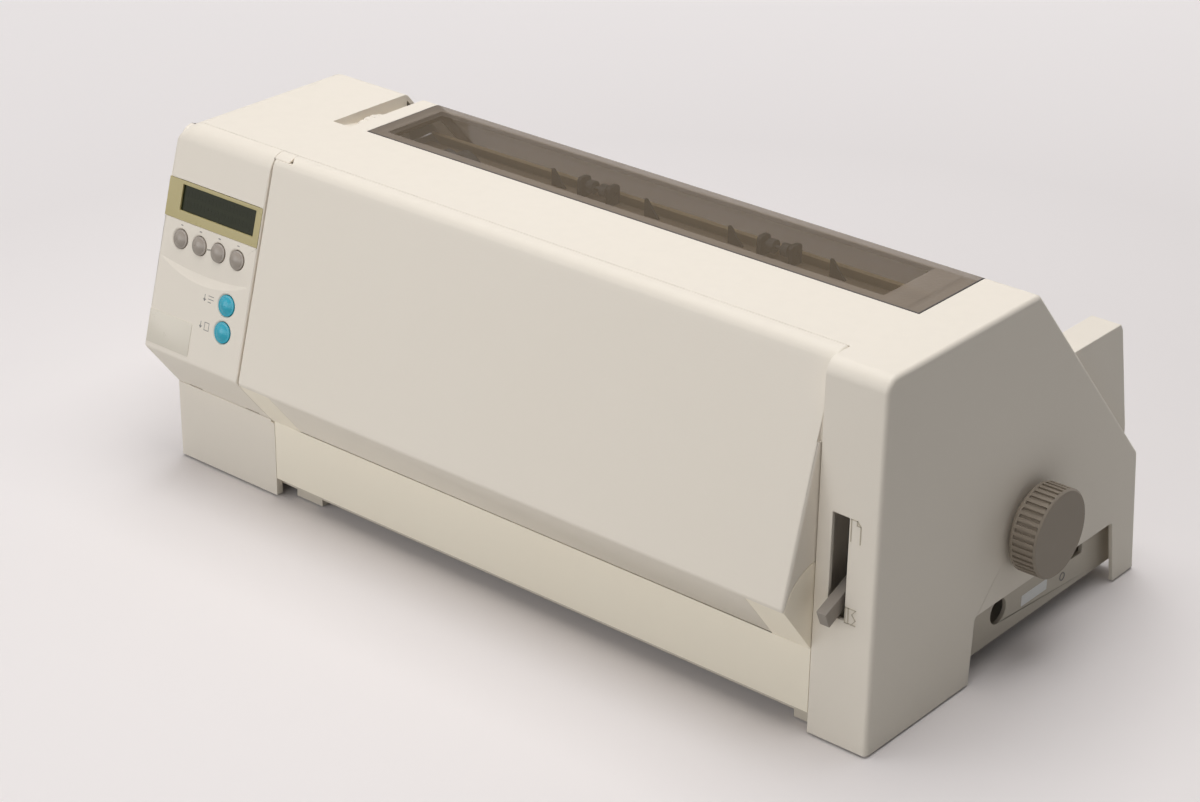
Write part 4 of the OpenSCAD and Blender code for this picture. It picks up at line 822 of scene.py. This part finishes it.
def screw_head():
    """A pan-head screw with a cross recess, one millimetre in radius, standing on z = 0."""
    form = bmesh.new()
    sides = 20
    turns = [2 * math.pi * i / sides for i in range(sides)]
    # Radius and height of each ring, from the rim up to the crown
    rings = [(1.0, 0.0), (1.0, 0.28), (0.88, 0.5), (0.62, 0.66), (0.5, 0.7)]
    # The cross recess: heights of its rim and floor, its arms and waist, how its floor narrows
    crown, sunk = 0.7, 0.3
    arm, waist, taper = 0.46, 0.2, 0.8
    loops = [
        [form.verts.new((r * MM * math.cos(t), r * MM * math.sin(t), z * MM)) for t in turns]
        for r, z in rings
    ]
    for low, high in zip(loops, loops[1:]):
        for i in range(sides):
            j = (i + 1) % sides
            form.faces.new((low[i], low[j], high[j], high[i]))
    cross = []
    for i, t in enumerate(turns):
        radius = waist if i % (sides // 4) else arm
        cross.append((radius * MM * math.cos(t), radius * MM * math.sin(t)))
    rim = [form.verts.new((x, y, crown * MM)) for x, y in cross]
    floor = [form.verts.new((x * taper, y * taper, sunk * MM)) for x, y in cross]
    for i in range(sides):
        j = (i + 1) % sides
        form.faces.new((loops[-1][i], loops[-1][j], rim[j], rim[i]))
        form.faces.new((rim[i], rim[j], floor[j], floor[i]))
    form.faces.new(floor)
    return into_scene("screw_head", as_mesh(form, "screw_head"))


def add_screws(name, places, radius):
    """Screw heads on the case: places are (point in case millimetres, direction they face)."""
    mesh = bpy.data.meshes.new(name + "_places")
    mesh.from_pydata([in_frame(*point) for point, _ in places], [], [])
    facing = mesh.attributes.new("facing", "FLOAT_VECTOR", "POINT")
    facing.data.foreach_set("vector", [level for _, way in places for level in way])
    head = screw_head()
    set_out(name, mesh, PARTS_AT_POINTS, "case", "rod_steel", Part=head, Size=radius)
    bpy.data.objects.remove(head)


# --- Flat and swept forms ---
def add_prism(form, outline, low, high, place):
    """A prism over an outline of (u, v) points: place(u, v, out) gives its points in the frame."""
    floor = [form.verts.new(place(u, v, low)) for u, v in outline]
    top = [form.verts.new(place(u, v, high)) for u, v in outline]
    form.faces.new(top)
    form.faces.new(floor[::-1])
    for i in range(len(outline)):
        j = (i + 1) % len(outline)
        form.faces.new((floor[i], floor[j], top[j], top[i]))


def stroke(start, end, width):
    """The outline of a straight stroke with square ends."""
    along = (Vector(end) - Vector(start)).normalized() * width / 2
    across = Vector((-along.y, along.x))
    a, b = Vector(start) - along, Vector(end) + along
    return [a + across, a - across, b - across, b + across]


def rounded_box(low, high, radius, steps=5):
    """The outline of a rectangle with round corners."""
    points = []
    for cx, cy, turn in (
        (high[0] - radius, high[1] - radius, 0), (low[0] + radius, high[1] - radius, 90),
        (low[0] + radius, low[1] + radius, 180), (high[0] - radius, low[1] + radius, 270),
    ):
        for i in range(steps + 1):
            angle = math.radians(turn + 90 * i / steps)
            points.append((cx + radius * math.cos(angle), cy + radius * math.sin(angle)))
    return points


def chain(*points):
    """The (start, end) pairs of a line that runs through points."""
    return list(zip(points, points[1:]))


def strokes(lines, width, span):
    """Plates for add_plates along (start, end) lines, between the two heights of a span."""
    return [(stroke(start, end, width), *span) for start, end in lines]


def ring(centre, inner, outer, sides, span, stretch=1.0):
    """Plates for add_plates that make a flat ring, stretched along its second axis."""
    plates = []
    for i in range(sides):
        a, b = (2 * math.pi * k / sides for k in (i, i + 1))
        plates.append((
            [(centre[0] + r * math.cos(t), centre[1] + stretch * r * math.sin(t))
             for r, t in ((inner, a), (outer, a), (outer, b), (inner, b))], *span,
        ))
    return plates


def add_plates(name, plates, place, body, slot, finish=None, edge=0.0):
    """Thin plates laid on a surface, each given as (outline, low, high)."""
    form = bmesh.new()
    for outline, low, high in plates:
        add_prism(form, outline, low, high, place)
    mesh = as_mesh(form, name)
    if edge:
        source = into_scene(name + "_source", mesh)
        mesh = baked(source, easing(edge, 50.0, use_clamp_overlap=True))
    finished(name, mesh, body, slot, finish)


def on_pillar(x, z, out):
    """A place on the front of the right pillar."""
    return in_frame(x, -out, z)


def on_pan_side(y, z, out):
    """A place on the base pan's right wall."""
    return in_frame(PAN_SIDE + out, y, z)


# --- Marks, labels and plates ---
MENU_KEY_X = (-280.0, -261.4, -242.8, -224.2)
BLUE_KEY_S = (110.0, 129.0)
ARROW_X = -248.0
BADGE = ((-298.0, 131.0), (-255.8, 154.6))
TYPE_LABEL = ((185.5, 20.2), (216.0, 28.2))


def add_pictograms():
    """Raised cut-sheet and fan-fold signs beside the lever's slot, darker than the case as painted
    shade along their strokes.
    """
    sheet = chain((280.3, 142), (280.3, 156.4), (284.4, 156.4), (287, 153.4), (287, 142))
    sheet += chain((284.4, 156.4), (284.4, 153.4), (287, 153.4))
    fan_fold = chain((279.4, 87.4), (279.4, 97.6), (286.8, 97.6))
    fan_fold += chain((281.6, 87.4), (281.6, 97.6)) + chain((279.4, 87.4), (286.8, 87.4))
    fan_fold += chain((286.8, 97.6), (284.2, 94.2), (286.8, 90.8), (284.2, 87.4))
    add_plates("paper_pictograms", strokes(sheet + fan_fold, 0.55, RELIEF), on_pillar, "case",
               "case_plastic", FINISHES["worn_relief"])


def add_panel_marks():
    """Blank badge plate, and plain printed marks beside the buttons."""
    add_plates("badge_plate", [(rounded_box(*BADGE, 1.0), -0.3, 0.35)], on_face, "case",
               "lever_plastic", FINISHES["badge_satin"], edge=0.15)
    ink = strokes([((x - 0.7, 67.4), (x + 0.7, 67.4)) for x in MENU_KEY_X], 0.7, PRINT)
    # An arrow beside each blue button, then text lines for the upper and a sheet for the lower
    for s in BLUE_KEY_S:
        ink += strokes([((ARROW_X, s - 2.2), (ARROW_X, s + 1.6))], 0.6, PRINT)
        tip = [(ARROW_X - 1.6, s + 0.6), (ARROW_X + 1.6, s + 0.6), (ARROW_X, s + 2.6)]
        ink.append((tip, *PRINT))
    text = [((-244.4, s), (end, s))
            for s, end in ((107.8, -239.6), (110.0, -239.6), (112.2, -241.6))]
    left, right, top, foot = -244.2, -240.0, 126.4, 131.8
    sheet = chain((left, top), (right, top), (right, foot), (left, foot), (left, top))
    ink += strokes(text + sheet, 0.5, PRINT)
    add_plates("printed_marks", ink, on_face, "case", "grey_key", FINISHES["grey_ink"])


def add_pan_labels():
    """The blank type label, and the moulded ring on the pan's right wall, drawn grey as painted
    shade of its relief.
    """
    add_plates("blank_label", [(rounded_box(*TYPE_LABEL, 0.6), -0.1, 0.12)], on_pan_side, "case",
               "case_plastic", FINISHES["white_label"])
    # Painted shade: the moulded ring is drawn grey to stand in for the shade round its relief
    add_plates("moulding_ring", ring((235.0, 21.5), 2.3, 3.1, 32, (-0.1, 0.35)), on_pan_side,
               "case", "pan_plastic", FINISHES["grey_ink"])


# --- Mechanism and electrics ---
BELT_X = (-171.0, 213.0)
BELT_Y = (85.0, 91.0)
PULLEY_Z = 31.0
BELT_INSIDE = 8.05
BELT_PITCH = 2.032
PAN_REAR = 301.0
INLET_X = -240.0
SWITCH_X = -196.0
CONNECTOR_X = 110.0
CONTACT_PITCH = 2.353
CONTACT_ROW_PITCH = 3.08
# The display's first character cell, the pitches of its cells and rows, and their depth
CELL = ((-282.4, 43.0), (-279.8, 47.6))
CELL_PITCH = 3.42
CELL_ROW_PITCH = 7.0
CELL_DEPTH = (-1.68, -1.64)


def block_mesh(name, low, high):
    """A block between two corners in case millimetres."""
    form = bmesh.new()
    add_prism(
        form, [(low[0], low[1]), (high[0], low[1]), (high[0], high[1]), (low[0], high[1])],
        low[2], high[2], in_frame,
    )
    return as_mesh(form, name)


def add_belt_teeth():
    """Teeth along the inside of both runs of the timing belt."""
    first, last = BELT_X
    count = int((last - first) / BELT_PITCH)
    tooth = block_mesh(
        "belt_tooth", (first, BELT_Y[0] + 0.2, PULLEY_Z + BELT_INSIDE - 0.7),
        (first + 1.0, BELT_Y[1] - 0.2, PULLEY_Z + BELT_INSIDE + 0.1),
    )
    gap = 2 * BELT_INSIDE - 0.6
    set_out(
        "belt_teeth", tooth, PARTS_IN_ROWS, "case", "black_rubber", Count=count,
        Step=(BELT_PITCH * MM, 0, 0), Rows=2, Row_Step=(0, 0, -gap * MM),
    )


def add_connector_contacts():
    """Two rows of contacts on the tongue of the rear connector."""
    contact = block_mesh(
        "contact", (CONNECTOR_X - 20.6, PAN_REAR - 4, 32.36),
        (CONNECTOR_X - 19.4, PAN_REAR + 4.6, 32.56),
    )
    set_out(
        "connector_contacts", contact, PARTS_IN_ROWS, "case", "rod_steel",
        FINISHES["gold_contact"], Count=18, Step=(CONTACT_PITCH * MM, 0, 0), Rows=2,
        Row_Step=(0, 0, CONTACT_ROW_PITCH * MM),
    )


def add_inlet_pins():
    """Three flat pins inside the mains inlet."""
    form = bmesh.new()
    for x, z in ((-7.0, 31.5), (0.0, 37.0), (7.0, 31.5)):
        add_prism(
            form, rounded_box((INLET_X + x - 1.0, z - 2.0), (INLET_X + x + 1.0, z + 2.0), 0.6),
            PAN_REAR - 17.2, PAN_REAR - 3.0, lambda u, v, out: in_frame(u, out, v),
        )
    finished("inlet_pins", as_mesh(form, "inlet_pins"), "case", "rod_steel")


def add_switch_marks():
    """The line and circle moulded on the two ends of the mains rocker."""
    def on_rocker(x, z, out):
        """A place on the rocker, whose two ends stand out by different amounts."""
        trough, end, half = 1.4, 5.0 if x > 0 else 3.0, 7.6
        y = PAN_REAR - 3.0 + trough + abs(x) * (end - trough) / half
        return in_frame(SWITCH_X + x, y + out, z)

    span = (-0.1, 0.08)
    marks = strokes([((4.0, 31.8), (4.0, 36.2))], 0.5, span)
    marks += ring((-4.2, 34.0), 1.2, 1.6, 20, span, stretch=1.3)
    add_plates("rocker_marks", marks, on_rocker, "power_rocker", "black_plastic",
               FINISHES["white_label"])


def add_cable(name, path, y_range, thickness):
    """A flat cable: a strip of even thickness along a smooth (x, z) path, wide along y."""
    curve = []
    for i in range(1, len(path) - 2):
        before, a, b, after = (Vector(path[k]) for k in (i - 1, i, i + 1, i + 2))
        for k in range(8):
            t = k / 8
            curve.append(
                0.5 * (2 * a + (b - before) * t + (2 * before - 5 * a + 4 * b - after) * t * t
                       + (3 * a - before - 3 * b + after) * t ** 3)
            )
    curve.append(Vector(path[-2]))
    form = bmesh.new()
    rings = []
    for i, point in enumerate(curve):
        along = curve[min(i + 1, len(curve) - 1)] - curve[max(i - 1, 0)]
        side = Vector((-along.y, along.x)).normalized() * thickness / 2
        rings.append([
            form.verts.new(in_frame(spot.x, y, spot.y))
            for spot, y in ((point + side, y_range[0]), (point + side, y_range[1]),
                            (point - side, y_range[1]), (point - side, y_range[0]))
        ])
    for low, high in zip(rings, rings[1:]):
        for i in range(4):
            j = (i + 1) % 4
            form.faces.new((low[i], low[j], high[j], high[i]))
    form.faces.new(rings[0][::-1])
    form.faces.new(rings[-1])
    finished(name, as_mesh(form, name), "case", "carriage_plastic", sharp=60.0)


def add_flat_cables():
    """Flat cables that rise in loops at the left end of the paper exit."""
    for number, (inset, y0) in enumerate(((0.0, 112.0), (5.0, 124.0), (10.0, 136.0))):
        path = [(-196, 170), (-188 + inset, 196), (-180 + inset, 222 - inset * 0.5),
                (-164 + inset, 236 - inset * 0.6), (-146 + inset, 226 - inset * 0.6),
                (-128 + inset, 204), (-108 + inset, 190), (-80, 186)]
        add_cable("flat_cable_%d" % (number + 1), path, (y0, y0 + 10.0), 0.5)


def add_display_cells():
    """The character cells of the display, two rows behind its window."""
    form = bmesh.new()
    add_prism(form, rounded_box(*CELL, 0.3, 2), *CELL_DEPTH, on_face)
    cell = as_mesh(form, "display_cell")
    down = on_face(0, CELL_ROW_PITCH) - on_face(0, 0)
    set_out(
        "display_cells", cell, PARTS_IN_ROWS, "case", "display_glass", FINISHES["display_cell"],
        Count=20, Step=(CELL_PITCH * MM, 0, 0), Rows=2, Row_Step=tuple(down),
    )


def add_all_screws():
    """Screws that hold the case, the frames and the motors."""
    out_rear, out_left, down = (0, 1, 0), (-1, 0, 0), (0, 0, -1)
    add_screws(
        "rear_screws",
        [((x, PAN_REAR, 34), out_rear) for x in (-262, -218, 70, 150)]
        + [((x, PAN_REAR, 14), out_rear) for x in (-120, 0, 200)],
        2.6,
    )
    add_screws("pan_screws", [((x, y, 9), down) for x in (-270, 270) for y in (60, 240)], 3.0)
    add_screws("motor_screws", [((-200, y, 50), out_left) for y in (209, 238)], 2.2)


# --- Camera, light and floor ---
CAMERA_PLACE = (1.06629, -1.32448, 0.92515)
CAMERA_RIGHT = Vector((0.76383034, 0.64529412, 0.01259771))
CAMERA_DOWN = Vector((0.29244523, -0.32863354, -0.89803997))
CAMERA_AHEAD = Vector((-0.57535988, 0.68963432, -0.43973346))
CAMERA_LENS = 84.03


def add_camera():
    """The camera, placed and turned by its three axes."""
    data = bpy.data.cameras.new("camera")
    data.lens = CAMERA_LENS
    data.sensor_width = 36.0
    data.clip_end = 50.0
    camera = into_scene("camera", data)
    turn = Matrix((CAMERA_RIGHT, -CAMERA_DOWN, -CAMERA_AHEAD)).transposed()
    camera.matrix_world = Matrix.Translation(CAMERA_PLACE) @ turn.to_4x4()
    bpy.context.scene.camera = camera


def add_lamp(name, place, target, size, power, colour=(1.0, 1.0, 1.0)):
    """A soft box that shines from its place towards its target."""
    data = bpy.data.lights.new(name, "AREA")
    data.shape = "RECTANGLE"
    data.size, data.size_y = size
    data.energy = power
    data.color = colour
    lamp = into_scene(name, data)
    lamp.location = place
    aim = Vector(target) - Vector(place)
    lamp.rotation_euler = aim.to_track_quat("-Z", "Y").to_euler()


def add_world():
    """Even room light, with a pale backdrop where the camera looks past the floor."""
    world = bpy.data.worlds.new("studio")
    bpy.context.scene.world = world
    world.use_nodes = True
    tree = world.node_tree
    tree.nodes.clear()
    path = add_node(tree, "ShaderNodeLightPath", (-600, 200))
    seen = add_node(tree, "ShaderNodeMath", (-350, 200), operation="MAXIMUM")
    also = add_node(tree, "ShaderNodeMath", (-150, 200), operation="MAXIMUM")
    room = add_node(
        tree, "ShaderNodeBackground", (0, 0),
        inputs={"Color": (0.97, 0.98, 1.0, 1.0), "Strength": 0.11},
    )
    backdrop = add_node(
        tree, "ShaderNodeBackground", (0, -150),
        inputs={"Color": srgb(233, 229, 230), "Strength": 1.0},
    )
    choose = add_node(tree, "ShaderNodeMixShader", (300, 0))
    output = add_node(tree, "ShaderNodeOutputWorld", (500, 0))
    link = tree.links.new
    link(path.outputs["Is Camera Ray"], seen.inputs[0])
    link(path.outputs["Is Glossy Ray"], seen.inputs[1])
    link(seen.outputs[0], also.inputs[0])
    link(path.outputs["Is Transmission Ray"], also.inputs[1])
    link(also.outputs[0], choose.inputs[0])
    link(room.outputs[0], choose.inputs[1])
    link(backdrop.outputs[0], choose.inputs[2])
    link(choose.outputs[0], output.inputs["Surface"])


def add_floor():
    """A plain pale floor that melts into the backdrop far out."""
    made, tree, shader = blank_finish("studio_floor")
    low, high, mixed = MIX_COLOUR
    path = add_node(tree, "ShaderNodeLightPath", (0, 0))
    # The pieces see a duller floor than the camera does, so that it lights them less from below
    tone = add_node(
        tree, "ShaderNodeMix", (300, 0), data_type="RGBA",
        inputs={low: (0.60, 0.59, 0.58, 1.0), high: srgb(245, 240, 240)},
    )
    shader.inputs["Roughness"].default_value = 0.9
    shader.inputs["Specular IOR Level"].default_value = 0.1
    # Far out, where the lamps no longer reach, the camera still sees a pale backdrop
    place = add_node(tree, "ShaderNodeTexCoord", (-500, -300))
    distance = add_node(tree, "ShaderNodeVectorMath", (-300, -300), operation="LENGTH")
    far = add_node(
        tree, "ShaderNodeMapRange", (-100, -300),
        inputs={"From Min": 0.75, "From Max": 3.5, "To Max": 0.75},
    )
    seen = add_node(tree, "ShaderNodeMath", (100, -300), operation="MULTIPLY")
    glow = add_node(
        tree, "ShaderNodeMix", (300, -300), data_type="RGBA",
        inputs={low: (0.0, 0.0, 0.0, 1.0), high: (1.0, 0.97, 0.98, 1.0)},
    )
    link = tree.links.new
    link(path.outputs["Is Camera Ray"], tone.inputs[0])
    link(tone.outputs[mixed], shader.inputs["Base Color"])
    link(place.outputs["Object"], distance.inputs[0])
    link(distance.outputs["Value"], far.inputs["Value"])
    link(far.outputs["Result"], seen.inputs[0])
    link(path.outputs["Is Camera Ray"], seen.inputs[1])
    link(seen.outputs[0], glow.inputs[0])
    link(glow.outputs[mixed], shader.inputs["Emission Color"])
    shader.inputs["Emission Strength"].default_value = 1.0
    form = bmesh.new()
    reach = 6.0
    corners = [form.verts.new((x * reach, y * reach, 0.0))
               for x, y in ((-1, -1), (1, -1), (1, 1), (-1, 1))]
    form.faces.new(corners)
    floor = into_scene("studio_floor", as_mesh(form, "studio_floor", turn_faces=False))
    floor.data.materials.append(made)


# Width of the eased edges of each moulding, in millimetres
EASED = {
    "upper_case": 0.4, "rear_posts": 0.6, "front_left_cover": 0.6, "lower_front_panel": 0.4,
    "front_cover": 0.3, "window_lid": 0.3, "control_panel": 0.3, "display_bezel": 0.3,
    "base_pan": 0.4, "platen_knob": 0.3, "paper_lever": 0.5, "thickness_dial": 0.3,
    "menu_button_1": 0.2, "menu_button_2": 0.2, "menu_button_3": 0.2, "menu_button_4": 0.2,
    "line_feed_button": 0.2, "form_feed_button": 0.2,
}
# Mouldings whose edges stay crisp from a smaller turn on, in degrees
CREASED = {"control_panel": 16.0}

add_camera()
dress_frame()
for node, edge in EASED.items():
    add_eased(node, edge, crease=CREASED.get(node))
add_pictograms()
add_panel_marks()
add_pan_labels()
add_belt_teeth()
add_connector_contacts()
add_inlet_pins()
add_switch_marks()
add_flat_cables()
add_display_cells()
add_all_screws()
add_world()
add_floor()
add_lamp("top_box", (0.0, 0.0, 2.2), (0.0, 0.0, 0.1), (1.8, 1.8), 35.0, (1.0, 0.99, 0.975))
add_lamp("left_box", (-1.3, -1.9, 0.7), (0.0, 0.0, 0.12), (1.5, 1.2), 11.2)
add_lamp("front_box", (0.3, -2.3, 0.8), (0.0, 0.0, 0.12), (1.6, 1.2), 9.0)
add_lamp("right_box", (1.5, 2.0, 0.35), (0.3, 0.2, 0.05), (1.0, 0.7), 2.0)
add_lamp("back_box", (-0.9, 1.3, 1.6), (-0.75, 0.95, 0.0), (2.0, 1.4), 7.0)

bpy.context.scene.view_settings.view_transform = "Standard"
